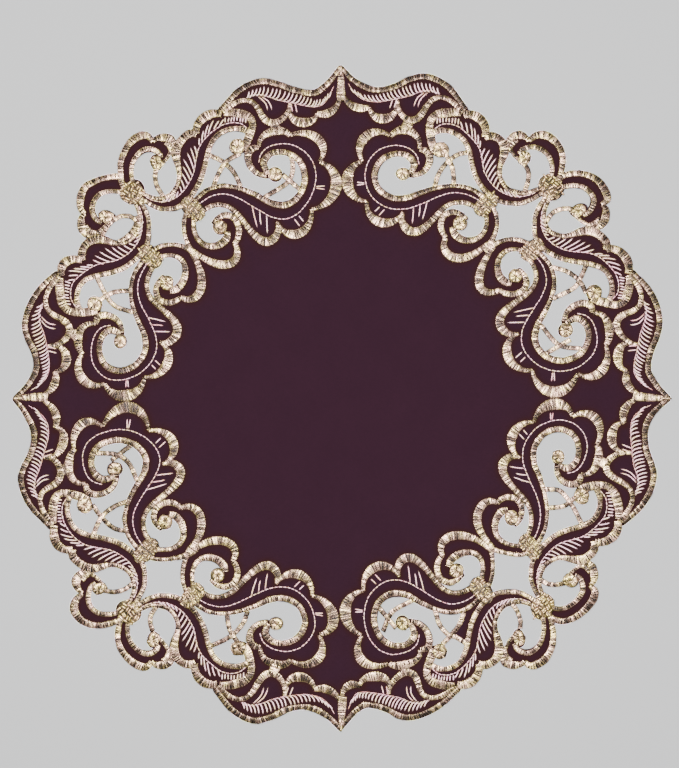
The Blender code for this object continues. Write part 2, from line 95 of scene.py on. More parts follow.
# Scroll lines. columns: x, y, width of the stitching there
SCROLLS = {
    "leaf_edge": [
        (0.5, 330.5, 4.5), (12, 318.5, 5.5), (27, 310, 6.0), (39, 308.5, 5.5),
        (53, 311.5, 6.0), (69, 319, 6.0), (82, 322, 6.0), (95, 319, 6.0),
        (109, 309.5, 6.0), (125, 288.5, 5.0)],
    "leaf_swing": [
        (56, 299, 4.0), (57, 291, 4.5), (61.5, 282.5, 6.0), (69, 278, 7.0),
        (76.5, 280, 7.0), (82, 286, 6.5), (87, 294, 5.5), (93, 299.5, 5.0),
        (100.5, 301, 4.5), (108, 298.5, 5.0), (115, 293, 5.0), (122, 285, 4.5)],
    "leaf_joint": [(69, 279, 8.0), (64, 268, 12.0)],
    "scallop_two": [
        (143, 260, 5.0), (149.5, 262.5, 8.0), (156.5, 260.5, 8.0), (162, 254.5, 8.5),
        (163.5, 247, 9.0), (161.5, 239, 7.0), (159, 231, 5.0), (158.8, 223, 4.5),
        (162, 215, 4.5), (168, 208.7, 4.5), (176, 206, 4.5), (186, 205.5, 4.0),
        (198, 209.5, 4.0), (205, 211, 4.5)],
    "hook_crown": [
        (187.8, 257, 4.0), (193, 262, 6.5), (200, 263.8, 8.0), (208, 261.5, 8.0),
        (215.5, 255.5, 7.0), (220, 248, 6.5), (221.8, 240, 6.0), (221, 231, 6.0),
        (218.5, 222, 5.0), (215, 217, 5.0)],
    "hook_side": [
        (167, 257.5, 3.5), (168.8, 250, 3.5), (173, 243, 3.5), (179, 237.5, 3.5),
        (184, 233, 3.5)],
    "hook_corner": [
        (169.5, 248.5, 2.5), (170.3, 252.5, 4.5), (172.8, 256.2, 5.0), (177, 258.5, 3.5)],
    "hook_inside": [
        (178, 244, 4.0), (181, 248.5, 5.0), (187, 251, 5.0), (194, 251.2, 5.0),
        (201, 248.5, 4.8), (207, 243, 4.6), (210.3, 236, 4.5), (211, 228, 4.5),
        (210, 221, 4.5)],
    "band": [
        (90, 264, 5.0), (96, 267.5, 6.5), (105, 267.7, 5.0), (114, 265, 5.0),
        (123, 258, 5.0), (128.5, 246, 5.0), (131, 234, 5.0), (135.5, 220, 5.0),
        (143, 209, 5.0), (152, 201, 5.0), (161, 196.3, 4.5), (171, 194.8, 4.5),
        (181, 195.3, 4.5), (190, 198.7, 4.5), (199, 203.8, 4.5), (206, 208, 4.5)],
    "curl": [
        (121, 284, 5.0), (113, 286, 8.0), (105, 285.5, 9.0), (97, 284, 8.5),
        (90.5, 279, 7.5), (88.5, 271, 7.5), (89.8, 261, 8.5), (91.5, 253, 8.5),
        (94.5, 246.5, 8.0)],
    "flame": [
        (78, 249, 4.0), (84.5, 247.5, 6.5), (88.3, 242, 7.0), (88, 235, 6.5),
        (85, 229, 6.0), (79, 224.5, 5.0), (70, 223, 5.0)],
    "spiral": [
        (69, 224, 5.0), (73, 234, 7.0), (66.5, 242.5, 6.0), (54, 244.5, 5.5),
        (40, 238, 6.0), (33.5, 223.5, 6.0), (38, 209, 6.0), (51, 200.7, 6.0),
        (67, 201, 5.8), (83, 207, 5.0), (99, 211.4, 4.2), (115, 212.7, 4.0),
        (130, 209.5, 4.2), (146, 199, 5.0)],
    "lower_s": [
        (62, 187, 3.0), (60.5, 180, 6.0), (63, 172.5, 8.0), (69, 167.2, 9.0),
        (76, 167, 8.5), (84, 171.5, 7.0), (91, 178, 6.0), (98, 185.5, 5.5),
        (104, 191.3, 5.0), (111, 194.8, 4.5), (119, 196, 4.5), (128, 194.5, 4.5),
        (136, 190.5, 4.5)],
    "small_ring": [
        (111, 172, 5.0), (113, 165.5, 7.5), (119, 160, 7.5), (127, 158, 6.5),
        (135, 159.5, 5.5), (142, 165.5, 4.8), (145.5, 174, 4.3), (145, 185, 4.0)],
    "small_tip": [
        (126, 179.5, 3.0), (120, 184, 5.0), (112, 186.5, 6.0), (105, 184.5, 6.0),
        (100.8, 179, 6.0), (99.8, 172, 6.0), (101.5, 165.5, 5.5), (105, 160.5, 4.5)],
    "small_lobe": [
        (105, 161.5, 4.5), (102.8, 155, 6.0), (104, 148, 7.5), (109.5, 142.3, 8.5),
        (117.5, 140.2, 8.5), (126, 141.5, 8.0), (134, 145.2, 6.5), (141, 150, 5.5),
        (148, 155.5, 5.0)],
    "square_side": [
        (152, 191, 4.0), (155.5, 182, 4.2), (156, 173, 4.2), (154, 164.5, 4.5),
        (150.5, 157, 5.5), (147, 151.5, 6.5), (143, 147, 6.5)],
}
# the scrolls that bound the cut-away cloth, with the lobes named here
EDGE_LOBES = {"petal_one", "scallop_one", "hook_lobe"}
EDGE_SCROLLS = {
    "leaf_edge", "scallop_two", "hook_crown", "hook_side", "hook_inside", "band", "curl",
    "flame", "spiral", "lower_s", "small_ring", "small_tip", "square_side"}

# Filled ends and knots. columns: name, x, y, half length, half width, lean in degrees
FILLED = [
    ("spiral_end", 62.0, 224.5, 7.3, 6.3, 0.0),
    ("curl_end", 99.8, 248.7, 8.0, 7.8, 0.0),
    ("hook_end", 183.5, 240.0, 6.2, 7.5, -30.0),
    ("small_end", 119.0, 175.0, 7.3, 7.0, 0.0),
    ("diagonal_knot", 209.5, 211.5, 13.5, 11.0, -45.0),
    ("lower_knot", 145.3, 194.2, 14.0, 9.0, 45.0),
]

# In some copies the hook's crown swings wide before it meets the knot.
# columns: copy, then the last x, y, width of the crown there
WIDE_CROWNS = {
    "left_upper": [(224.5, 240, 6.0), (227.5, 231, 6.0), (228.5, 224, 6.0), (227.5, 217.5, 5.0)],
    "top_left": [(223, 240, 6.0), (223.2, 231, 6.0), (222.5, 222, 6.0), (219, 214, 6.0)],
    "right_upper": [(222.6, 240, 6.0), (223.8, 231, 6.0), (223, 222, 6.0), (218, 215.5, 6.0)],
}
CROWN_KEPT = 6             # rows of the drawn crown that every copy shares

# A point in each opening, to tell cut-away cloth from kept cloth
OPENINGS = [
    ("scroll_opening", 52.0, 222.0),
    ("small_opening", 134.0, 173.0),
    ("hook_opening", 200.0, 236.0),
    ("oval_opening", 173.0, 222.0),
    ("square_opening", 174.0, 176.0),
]

# Running stitches. columns: x, y
RUNNING = {
    "leaf_line": [
        (7, 315), (13, 306), (22, 299), (36, 296.5), (53, 299), (70, 303), (82, 307.5),
        (92, 307.5), (99, 304)],
    "spiral_line": [
        (78, 234), (75.5, 243), (68, 250), (54, 253), (39, 249), (28, 238), (24, 223),
        (28, 206), (38, 195), (51, 189.5), (67, 190), (84, 196), (99, 202.5),
        (113, 205.7), (127, 203.5), (140, 197)],
    "band_line": [
        (94, 269.5), (100, 273.7), (108, 274.5), (117, 271.8), (124, 266.5), (131, 259.5),
        (137, 252), (140, 245), (141.3, 237), (143.5, 226), (152, 213), (162, 205.5),
        (174, 202), (186, 202.8), (196, 206.5)],
}

# Rows of stitches that fan from one stitch to the next, all along a line.
# columns: name, how many, how far they bow to the right of their length (as a
# share of it), how far the foot runs on along the line (as a share of the
# spacing), then the (foot, head) of some of them in order
FANS = [
    ("leaf_fan", 24, -0.07, 0.5, [
        ((13, 306), (9.5, 311)), ((24, 298.8), (20, 304.5)), ((36, 296.8), (32, 303.5)),
        ((53, 299.3), (48.5, 307.5)), ((70, 303.6), (65.8, 313.5)), ((82, 306.5), (78.6, 316.5)),
        ((91, 306.5), (88.2, 315.5)), ((98, 303.5), (95.6, 311))]),
    ("crest_fan", 8, 0.0, 0.0, [((96, 275), (96.3, 280.5)), ((105, 276.5), (105.2, 281.5)), ((117, 274), (117.6, 280))]),
    ("scallop_one_fan", 6, 0.03, 0.0, [
        ((121.5, 269.3), (119, 277)), ((125.6, 266.7), (122.8, 276)), ((129.4, 262.8), (127, 276.7)),
        ((132.8, 258.5), (131, 275)), ((136, 255), (136, 266.5)), ((138.8, 250.5), (139.3, 257.5))]),
    ("scallop_two_fan", 8, -0.03, 0.0, [
        ((140.2, 240.5), (144.3, 251)), ((141.5, 234.5), (148.3, 249.6)), ((143.2, 229), (151.6, 245.6)),
        ((145, 224.5), (155, 241)), ((147.8, 219.3), (155.8, 231.5)), ((151.3, 214.3), (156.5, 224)),
        ((156, 209.5), (158.5, 216.5))]),
    ("lower_band_fan", 5, 0.0, 0.0, [((162, 205.2), (159.5, 211)), ((170, 201.8), (165.5, 207.5)), ((179, 201), (174, 204.5))]),
]

# Single stitches and short curved ones. columns: points (x, y) along the stitch
STITCHES = [
    [(83, 305.5), (77.5, 302), (74, 296.6), (72.7, 291)], [(86.5, 305.5), (81.7, 301.8), (77.9, 296.6), (76.7, 290.5)],
    [(51.5, 298.5), (50, 294), (48.4, 289.5)], [(56, 299.5), (54.5, 295), (52.8, 290)],
    [(16, 216), (24, 215.4)], [(16, 213.3), (24, 214.3)],
    [(34, 187), (39, 192)], [(38, 183), (44, 189.5)],
    [(72.5, 190.5), (72, 182), (71, 174)], [(79, 193), (78.5, 186), (77.5, 181)],
    [(86, 196.5), (84.3, 189), (81, 178)],
]

# Wedge of stitching on the axis of each cusp. columns: y, width
CUSP_WEDGE = [(331, 2.5), (323, 5.5), (313, 7.8), (303, 8.8), (297, 8.0)]

# Thread bars across the openings, and the little arms of some, where each one
# lies on the cloth: to the right of and above the motif's centre, in units,
# and its width where it isn't the usual one.
BARS = {
    "top_right": [[(128, 246), (117, 244), (105, 235), (97, 223), (93.5, 211)],
                  [(106, 242), (111, 232), (112.5, 222), (113, 213)],
                  [(184, 234), (187.5, 226), (187, 218), (184, 208)]],
    "top_left": [[(-76.3, 201.2), (-52.4, 217.3), (-48.2, 228.6), (-49.6, 242.6)],
                 [(-52.4, 218.7), (-44, 211.7)],
                 [(-130.3, 242.6), (-118.4, 237), (-107.2, 226), (-100.2, 211.7)],
                 [(-100.2, 245.4), (-114.2, 237), (-122.6, 224.3), (-127.5, 211.7)],
                 [(-184.3, 231), (-185.8, 222.4), (-184.5, 213.6), (-180, 205.5), (-177.5, 201.5)]],
    "left_upper": [[(-211, 108), (-228, 106), (-235, 102)],
                   [(-244, 121), (-239, 111), (-233, 100), (-225, 92), (-210, 87)],
                   [(-236, 168), (-233.9, 171.5), (-230.6, 175.6), (-226.1, 179.3), (-220.6, 182), (-213.9, 182.6), (-208.3, 180.8), (-205, 178)],
                   [(-203.8, 180, 4), (-205.5, 172.5, 5), (-210, 165, 5.5), (-216, 160, 5), (-221, 158, 3)]],
    "left_lower": [[(-212.6, -102.5), (-226.6, -108), (-239.1, -118), (-247, -134.5)],
                   [(-248.5, -106.4), (-239.1, -118.9), (-226.6, -129.8), (-212.6, -133)],
                   [(-242.2, -54.8), (-223.5, -56.4), (-212.6, -64.2), (-204, -81.4)],
                   [(-220.4, -54.8), (-212.6, -48.6)],
                   [(-234.5, -192.3), (-227.9, -193.4), (-219, -191.9), (-212.4, -188.3), (-208, -184.6)]],
    "bottom_left": [[(-93.5, -213), (-97, -223), (-103, -231), (-111, -238), (-120, -243), (-129.5, -247)],
                    [(-114, -215), (-113, -224), (-110, -234), (-105, -241)],
                    [(-188.9, -230.7), (-190.7, -224), (-190.2, -217.4), (-187, -212)]],
    "bottom_right": [[(94.3, -212.6), (99, -226.7), (108.4, -236.8), (114.6, -238.4), (124.8, -244.7)],
                     [(123.2, -213.4), (117.8, -226.7), (108.4, -238.4), (102, -245)],
                     [(66.2, -204.8), (50.6, -214.2), (47, -222)], [(41, -212.6), (47.4, -220.4)],
                     [(179.1, -229.6), (179.4, -222.9), (177.2, -215.2), (173.8, -208.6), (170.5, -205.5)]],
    "right_lower": [[(204.6, -90.8), (218.7, -92.3), (229.6, -104.8), (234.3, -112.6), (239.8, -123.6)],
                    [(207.8, -109.5), (223.4, -107.2), (232.8, -100)],
                    [(223.2, -184.6), (215.5, -186.1), (206.6, -185.2), (202, -182.5)]],
    "right_upper": [[(210, 131.3), (225, 127.4), (237.4, 118.8), (245.3, 105.5)],
                    [(245.3, 133.6), (239, 119.6), (234.3, 111.7), (212.4, 100)],
                    [(206.2, 66.4), (218.7, 53.2), (234.3, 50.8)], [(211, 48.5), (219, 53)],
                    [(233, 189), (226.5, 190), (217.7, 188.7), (211, 184.9), (207, 179.5)]],
}

# The eight places: quarter turns to the left, and whether the half is mirrored.
# columns: name, quarter turns, mirrored
COPIES = [
    ("top_right", 0, False), ("top_left", 0, True),
    ("left_upper", 1, False), ("left_lower", 1, True),
    ("bottom_left", 2, False), ("bottom_right", 2, True),
    ("right_lower", 3, False), ("right_upper", 3, True),
]

# How uneven the copies are: the same marks of the motif as they lie in each one.
# columns: mark, then its (x, y) in top_right (the drawn one), top_left,
# left_upper, left_lower, bottom_left, bottom_right, right_lower, right_upper
MARKS = [
    ("cusp_tip", (0, 331.5), (0, 332.1), (0, 326.6), (0, 327.4),
     (0, 331.4), (0, 329.8), (0, 328.8), (0, 328.5)),
    ("cusp_shoulder", (20, 316), (20, 312.5), (20, 311.5), (20, 315.7),
     (20, 316.3), (20, 311.3), (20, 310.7), (20, 313.8)),
    ("leaf_dip", (39, 310.5), (33.2, 307.8), (35.2, 306.3), (40.8, 308.7),
     (39.4, 310.3), (32, 309.3), (39.2, 306.2), (33.6, 309.3)),
    ("leaf_crown", (83, 325), (79.3, 319.9), (74.2, 319.1), (81.4, 322.7),
     (84.7, 325.1), (67.8, 322), (79.8, 315.6), (77.4, 321.5)),
    ("leaf_foot", (126, 289), (121.5, 289.1), (126.6, 284.4), (129.8, 290.7),
     (126.9, 290.8), (118.5, 290.8), (125.9, 282), (127.4, 292.1)),
    ("scallop_notch", (149, 266.5), (148.8, 269.6), (143, 263.3), (155.6, 273.5),
     (150.4, 269.7), (142, 270.4), (147.8, 257.8), (153.9, 270.3)),
    ("scallop_end", (167, 261.5), (166, 259.4), (162.5, 257.9), (172, 261),
     (168.3, 265.8), (160.7, 265), (163.4, 251.5), (169.6, 260.9)),
    ("hook_lobe_crown", (179, 267.6), (175.6, 264.3), (174.4, 262.6), (183.5, 269.9),
     (178.5, 269), (171.2, 269), (176.8, 256), (181.6, 268.1)),
    ("hook_notch", (188.5, 261.5), (188.7, 261.7), (185.2, 261), (195.4, 262.6),
     (189.4, 268.1), (184.2, 268.1), (187.6, 253.8), (194.6, 266.3)),
    ("hook_crown", (201.6, 267.4), (199.1, 266.5), (201, 262.9), (208.9, 271),
     (199.1, 271.2), (196, 269), (197.9, 256.4), (203, 268.6)),
    ("hook_far", (225.5, 240), (222.6, 235.2), (219.6, 242.2), (230.6, 242.2),
     (226.6, 240.8), (215.4, 237.6), (226.7, 221.8), (227.4, 242.1)),
    ("diagonal_knot", (210.5, 211.2), (207.9, 206.3), (206.3, 207.9), (213.4, 211.8),
     (212.9, 213.4), (202.1, 207.9), (207.9, 201.5), (209.4, 210.1)),
    ("lower_knot", (146.3, 194.2), (149.5, 189.5), (143, 189.9), (154, 194.6),
     (149.6, 197), (142, 191.5), (150.1, 189), (149.2, 190.6)),
    ("spiral_end", (63, 224.5), (66.8, 224.2), (58.6, 220.4), (72, 225.8),
     (66, 225.1), (62.8, 224.3), (59.5, 217.1), (69.6, 224.6)),
    ("curl_end", (100.8, 248.7), (104.7, 252.1), (95.3, 246.2), (107.9, 256.3),
     (103.5, 249.3), (99.8, 253.3), (98.6, 240.6), (107.1, 253.1)),
    ("hook_end", (184.5, 240), (185.5, 235.2), (182.8, 233.7), (190.8, 241.5),
     (188.7, 240), (178.7, 238.4), (182.9, 228.8), (189.1, 236.7)),
    ("small_end", (120, 175), (121.9, 171.1), (116.4, 174.3), (124.3, 175.8),
     (124.6, 176.7), (116.2, 172), (120.4, 170.3), (123.5, 174.6)),
    ("petal_four_notch", (63, 186.5), (64.4, 176.6), (57.1, 181.3), (66.5, 178.2),
     (66, 185.8), (59.2, 178.3), (60.3, 178.8), (65.7, 177.3)),
    ("petal_two_notch", (22, 237), (22.2, 236.7), (15.7, 236), (29, 238.3),
     (23, 236.1), (21.7, 236.8), (18.9, 231.2), (25.8, 236.7)),
    ("petal_three", (2.2, 217), (-0.4, 213.3), (-0.8, 215.7), (3.3, 212.6),
     (3.5, 220.4), (0, 214), (1.7, 214), (1.6, 214)),
    ("inner_dip", (74, 162), (77.4, 152.4), (71.1, 159.4), (78.3, 156.3),
     (75.4, 162.6), (70.1, 154.8), (70.4, 157.4), (80.5, 154.6)),
    ("small_lobe", (118, 136), (116, 129.4), (113.3, 135.2), (125.1, 135.2),
     (120.7, 137.9), (117, 132.6), (120.4, 132), (118, 133.5)),
    ("band_belly", (171.0, 192.5), (172.1, 187.1), (168.6, 190.0), (177.4, 193.8),
     (174.4, 194.7), (166.6, 191.1), (172.6, 187.8), (172.8, 191.3)),
    ("square_side", (158.0, 173.0), (158.5, 166.0), (155.9, 167.0), (162.3, 171.3),
     (160.0, 173.7), (153.6, 168.0), (156.8, 169.0), (161.1, 169.4)),
    ("joint", (145, 151), (144.6, 143), (143, 145.4), (151.7, 148.5),
     (148.8, 150.1), (145.9, 145.4), (147, 147.6), (149.2, 148.4)),
    ("petal_three_end", (26.5, 197), (30.1, 189.1), (21.9, 196.2), (32.9, 192.2),
     (29.7, 197), (23.2, 192.3), (24.3, 192.9), (28.9, 191.3)),
    ("petal_one_notch", (50, 260.5), (52.2, 261.7), (44.6, 257.1), (50.9, 265),
     (51.2, 260.3), (49.3, 263.4), (47, 253.8), (53.9, 263.2)),
    ("leaf_notch", (29, 287.5), (24.6, 281.3), (27.4, 282.1), (29.8, 281.3),
     (27, 286.8), (19.3, 283.7), (24.3, 278.8), (29, 282)),
    ("curl_crown", (67, 274), (66, 271.9), (64.9, 267.2), (72, 276.6),
     (66.8, 270.4), (64.6, 269.7), (64.2, 260.9), (71.9, 271.8)),
]


# -------------------------------------------------------------- plane shapes
def smooth_line(rows, step):
    """Points (x, y, width) about one step apart on a smooth line through the rows."""
    p = np.array(rows, float)
    p = np.vstack([2 * p[0] - p[1], p, 2 * p[-1] - p[-2]])
    line = []
    for p0, p1, p2, p3 in zip(p, p[1:], p[2:], p[3:]):
        t1 = math.sqrt(np.hypot(*(p1 - p0)[:2]))
        t2 = t1 + math.sqrt(np.hypot(*(p2 - p1)[:2]))
        t3 = t2 + math.sqrt(np.hypot(*(p3 - p2)[:2]))
        count = max(2, round(np.hypot(*(p2 - p1)[:2]) / step))
        for t in np.linspace(t1, t2, count, endpoint=False):
            a1 = (t1 - t) / t1 * p0 + t / t1 * p1
            a2 = (t2 - t) / (t2 - t1) * p1 + (t - t1) / (t2 - t1) * p2
            a3 = (t3 - t) / (t3 - t2) * p2 + (t - t2) / (t3 - t2) * p3
            b1 = (t2 - t) / t2 * a1 + t / t2 * a2
            b2 = (t3 - t) / (t3 - t1) * a2 + (t - t1) / (t3 - t1) * a3
            line.append((t2 - t) / (t2 - t1) * b1 + (t - t1) / (t2 - t1) * b2)
    line.append(p[-2])
    return np.array(line)


def lobe_line(start, crown, end, step):
    """Points (x, y, width) on the round arc from start over crown to end."""
    (ax, ay, aw), (cx, cy, cw), (ex, ey, ew) = start, crown, end
    d = 2 * (ax * (cy - ey) + cx * (ey - ay) + ex * (ay - cy))
    a2, c2, e2 = ax * ax + ay * ay, cx * cx + cy * cy, ex * ex + ey * ey
    ox = (a2 * (cy - ey) + c2 * (ey - ay) + e2 * (ay - cy)) / d
    oy = (a2 * (ex - cx) + c2 * (ax - ex) + e2 * (cx - ax)) / d
    radius = math.hypot(ax - ox, ay - oy)
    first, mid, last = (math.atan2(y - oy, x - ox) for x, y in ((ax, ay), (cx, cy), (ex, ey)))
    turn = 1 if (mid - first) % (2 * math.pi) < (last - first) % (2 * math.pi) else -1
    sweep = ((last - first) * turn) % (2 * math.pi)
    crown_at = ((mid - first) * turn) % (2 * math.pi) / sweep
    line = []
    for k in np.linspace(0, 1, max(6, round(radius * sweep / step)) + 1):
        if k < crown_at:
            near, share = aw, 0.5 - 0.5 * math.cos(math.pi * k / crown_at)
        else:
            near, share = ew, 0.5 + 0.5 * math.cos(math.pi * (k - crown_at) / (1 - crown_at))
        angle = first + turn * sweep * k
        line.append((ox + radius * math.cos(angle), oy + radius * math.sin(angle),
                     near + (cw - near) * share))
    return np.array(line)


def ribbon(line):
    """Closed outline of a stroke: its two sides, with a rounded cap at each end."""
    along = np.gradient(line[:, :2], axis=0)
    along /= np.linalg.norm(along, axis=1)[:, None]
    side = np.stack([-along[:, 1], along[:, 0]], axis=1)
    half = line[:, 2:] / 2
    left, right = line[:, :2] + side * half, line[:, :2] - side * half
    bows = np.sin(np.radians([35, 90, 145])), np.cos(np.radians([35, 90, 145]))
    head = [line[-1, :2] + half[-1] * (along[-1] * s + side[-1] * c) for s, c in zip(*bows)]
    tail = [line[0, :2] - half[0] * (along[0] * s + side[0] * c) for s, c in zip(*bows)]
    return np.vstack([left, head, right[::-1], tail])


def oval(x, y, half_length, half_width, lean):
    turn = math.radians(lean)
    around = np.linspace(0, 2 * math.pi, 25)[:-1]
    a, b = half_length * np.cos(around), half_width * np.sin(around)
    return np.stack([x + a * math.cos(turn) - b * math.sin(turn),
                     y + a * math.sin(turn) + b * math.cos(turn)], axis=1)


def bending(points, anchors):
    """Thin plate terms of each point against each anchor, with the plane terms."""
    gap = np.linalg.norm(points[:, None, :] - anchors[None, :, :], axis=2)
    plate = gap * gap * np.log(np.maximum(gap, 1e-9))
    return np.hstack([plate, np.ones((len(points), 1)), points])


def unevenness(copy):
    """Weights of the smooth warp that takes the drawn marks to those of a copy."""
    drawn = np.array([row[1] for row in MARKS], float) / 100
    there = np.array([row[1 + copy] for row in MARKS], float) / 100
    count = len(drawn)
    system = np.zeros((count + 3, count + 3))
    system[:count] = bending(drawn, drawn)
    system[:count, :count] += 0.004 * np.eye(count)
    system[count:, :count] = np.hstack([np.ones((count, 1)), drawn]).T
    return np.linalg.solve(system, np.vstack([there - drawn, np.zeros((3, 2))]))


def placed(points, copy):
    """Drawing units to millimetres, in one of the eight places round the cloth."""
    drawn = np.array([row[1] for row in MARKS], float) / 100
    points = points + 100 * bending(points / 100, drawn) @ unevenness(copy)
    _, quarter, mirrored = COPIES[copy]
    x, y = points[:, 0] * (-1 if mirrored else 1), points[:, 1]
    for _ in range(quarter):
        x, y = -y, x
    return np.stack([x - MIDDLE[0], y - MIDDLE[1]], axis=1) * MM


def inside(points, outline):
    """True for each point that lies inside the closed outline."""
    x, y = points[:, 0], points[:, 1]
    result = np.zeros(len(points), bool)
    low, high = outline.min(axis=0), outline.max(axis=0)
    near = (x > low[0]) & (x < high[0]) & (y > low[1]) & (y < high[1])
    if not near.any():
        return result
    x, y = x[near], y[near]
    winding = np.zeros(len(x), int)
    for (x0, y0), (x1, y1) in zip(outline, np.roll(outline, -1, axis=0)):
        if y0 == y1:
            continue
        crosses = (y0 <= y) != (y1 <= y)
        at = x0 + (y - y0) * (x1 - x0) / (y1 - y0)
        winding += np.where(crosses & (at > x), 1 if y1 > y0 else -1, 0)
    result[near] = winding != 0
    return result


def triangulated(outlines, kind):
    """Constrained triangles over the closed outlines."""
    points, edges = [], []
    for outline in outlines:
        first = len(points)
        points += [tuple(map(float, p)) for p in outline]
        count = len(outline)
        edges += [(first + i, first + (i + 1) % count) for i in range(count)]
    verts, _, faces, *_ = delaunay_2d_cdt(points, edges, [], kind, 1e-4)
    return np.array([tuple(v) for v in verts]), np.array([tuple(f) for f in faces])


def kept_loops(shapes, seeds):
    """Edge loops of the cloth: what neither the outside nor a seed point can reach."""
    frame = CLOTH_WIDTH * 0.6
    corner = np.array([(-frame, -frame), (frame, -frame), (frame, frame), (-frame, frame)])
    verts, tris = triangulated(shapes + [corner], 0)
    middles = verts[tris].mean(axis=1)
    stitched = np.zeros(len(tris), bool)
    for shape in shapes:
        stitched |= inside(middles, shape)
    owners = {}
    for index, tri in enumerate(tris):
        for i in range(3):
            a, b = tri[i], tri[(i + 1) % 3]
            owners.setdefault((min(a, b), max(a, b)), []).append(index)
    neighbours = [[] for _ in tris]
    for pair in owners.values():
        if len(pair) == 2:
            neighbours[pair[0]].append(pair[1])
            neighbours[pair[1]].append(pair[0])
    away = np.zeros(len(tris), bool)
    todo = [int(np.argmin(np.linalg.norm(middles - s, axis=1))) for s in [corner[0], *seeds]]
    while todo:
        index = todo.pop()
        if away[index] or stitched[index]:
            continue
        away[index] = True
        todo += neighbours[index]
    following = {}
    for tri, gone in zip(tris, away):
        if gone:
            continue
        for i in range(3):
            a, b = int(tri[i]), int(tri[(i + 1) % 3])
            pair = owners[(min(a, b), max(a, b))]
            if len(pair) == 1 or away[pair[0]] != away[pair[1]]:
                following.setdefault(a, []).append(b)
    loops = []
    while following:
        start = next(iter(following))
        loop, here, came = [start], start, None
        while True:
            ways = following[here]
            if len(ways) > 1 and came is not None:
                back = verts[here] - verts[came]
                def bend(n):
                    on = verts[n] - verts[here]
                    return math.atan2(back[0] * on[1] - back[1] * on[0], back @ on)
                ways.sort(key=bend)
            step = ways.pop()
            if not ways:
                del following[here]
            if step == start:
                break
            loop.append(step)
            came, here = here, step
        loops.append(verts[loop])
    return loops


def area(loop):
    x, y = loop[:, 0], loop[:, 1]
    return 0.5 * float(np.sum(x * np.roll(y, -1) - np.roll(x, -1) * y))


def simplified(loop):
    """The loop with as few points as keep it within OUTLINE_SAG of its curve."""
    kept = [loop[0]]
    for point in loop[1:]:
        if np.linalg.norm(point - kept[-1]) >= SHORTEST_EDGE:
            kept.append(point)
    if np.linalg.norm(kept[0] - kept[-1]) < SHORTEST_EDGE:
        kept.pop()
    loop = np.array(kept)
    far = int(np.argmax(np.linalg.norm(loop - loop[0], axis=1)))
    closed = np.vstack([loop, loop[:1]])
    keep = {0, far, len(loop)}
    todo = [(0, far), (far, len(loop))]
    while todo:
        a, b = todo.pop()
        if b - a < 2:
            continue
        chord = closed[b] - closed[a]
        off = closed[a + 1:b] - closed[a]
        length = max(np.linalg.norm(chord), 1e-9)
        stray = np.abs(chord[0] * off[:, 1] - chord[1] * off[:, 0]) / length
        worst = int(np.argmax(stray))
        if stray[worst] > OUTLINE_SAG:
            keep.add(a + 1 + worst)
            todo += [(a, a + 1 + worst), (a + 1 + worst, b)]
    return closed[sorted(keep)[:-1]]

# ------------------------------------------------------------------- meshes
class Heap:
    """Vertices, faces and stitch facts gathered for one mesh."""

    def __init__(self):
        self.points, self.faces, self.facts, self.run = [], [], [], []
        self.count = 0

    def grid(self, points, tone, gap, run, closed_across=False, caps=True):
        """A lengthwise grid of rows; each row is a ring when closed_across."""
        rows, cols = points.shape[:2]
        index = np.arange(rows * cols).reshape(rows, cols) + self.count
        nxt = np.roll(index, -1, axis=1) if closed_across else index[:, 1:]
        here = index if closed_across else index[:, :-1]
        quads = np.stack([here[:-1], nxt[:-1], nxt[1:], here[1:]], axis=-1).reshape(-1, 4)
        self.faces += [tuple(q) for q in quads.tolist()]
        if closed_across and caps:
            self.faces += [tuple(index[0, ::-1].tolist()), tuple(index[-1].tolist())]
        self.points.append(points.reshape(-1, 3))
        self.facts.append(np.stack([tone.reshape(-1), gap.reshape(-1)], axis=1))
        self.run.append(run.reshape(-1, 2))
        self.count += rows * cols

    def build(self, name, material, slot):
        points = np.concatenate(self.points) / 1000
        mesh = bpy.data.meshes.new(name)
        mesh.from_pydata(points.tolist(), [], self.faces)
        facts, run = np.concatenate(self.facts), np.concatenate(self.run)
        for k, key in enumerate(("tone", "gap")):
            mesh.attributes.new(key, "FLOAT", "POINT").data.foreach_set("value", facts[:, k].astype(np.float32))
        corner = np.zeros(len(mesh.loops), np.int32)
        mesh.loops.foreach_get("vertex_index", corner)
        uv = mesh.uv_layers.new(name="run")
        uv.data.foreach_set("uv", run[corner].astype(np.float32).reshape(-1))
        mesh.shade_smooth()
        mesh.materials.append(material)
        piece = bpy.data.objects.new(name, mesh)
        bpy.context.scene.collection.objects.link(piece)
        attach(piece, "root")
        return piece


def along_of(line):
    step = np.hypot(*np.diff(line[:, :2], axis=0).T)
    return np.concatenate([[0], np.cumsum(step)])


def read_at(line, along, at):
    """Position, tangent and width of a line at given lengths along it."""
    x, y = np.interp(at, along, line[:, 0]), np.interp(at, along, line[:, 1])
    t = np.gradient(line[:, :2], axis=0)
    t /= np.maximum(np.linalg.norm(t, axis=1), 1e-9)[:, None]
    tx, ty = np.interp(at, along, t[:, 0]), np.interp(at, along, t[:, 1])
    n = np.maximum(np.hypot(tx, ty), 1e-9)
    return np.stack([x, y], 1), np.stack([tx / n, ty / n], 1), np.interp(at, along, line[:, 2])


ACROSS = np.array([-1.0, -0.86, -0.5, 0.0, 0.5, 0.86, 1.0])


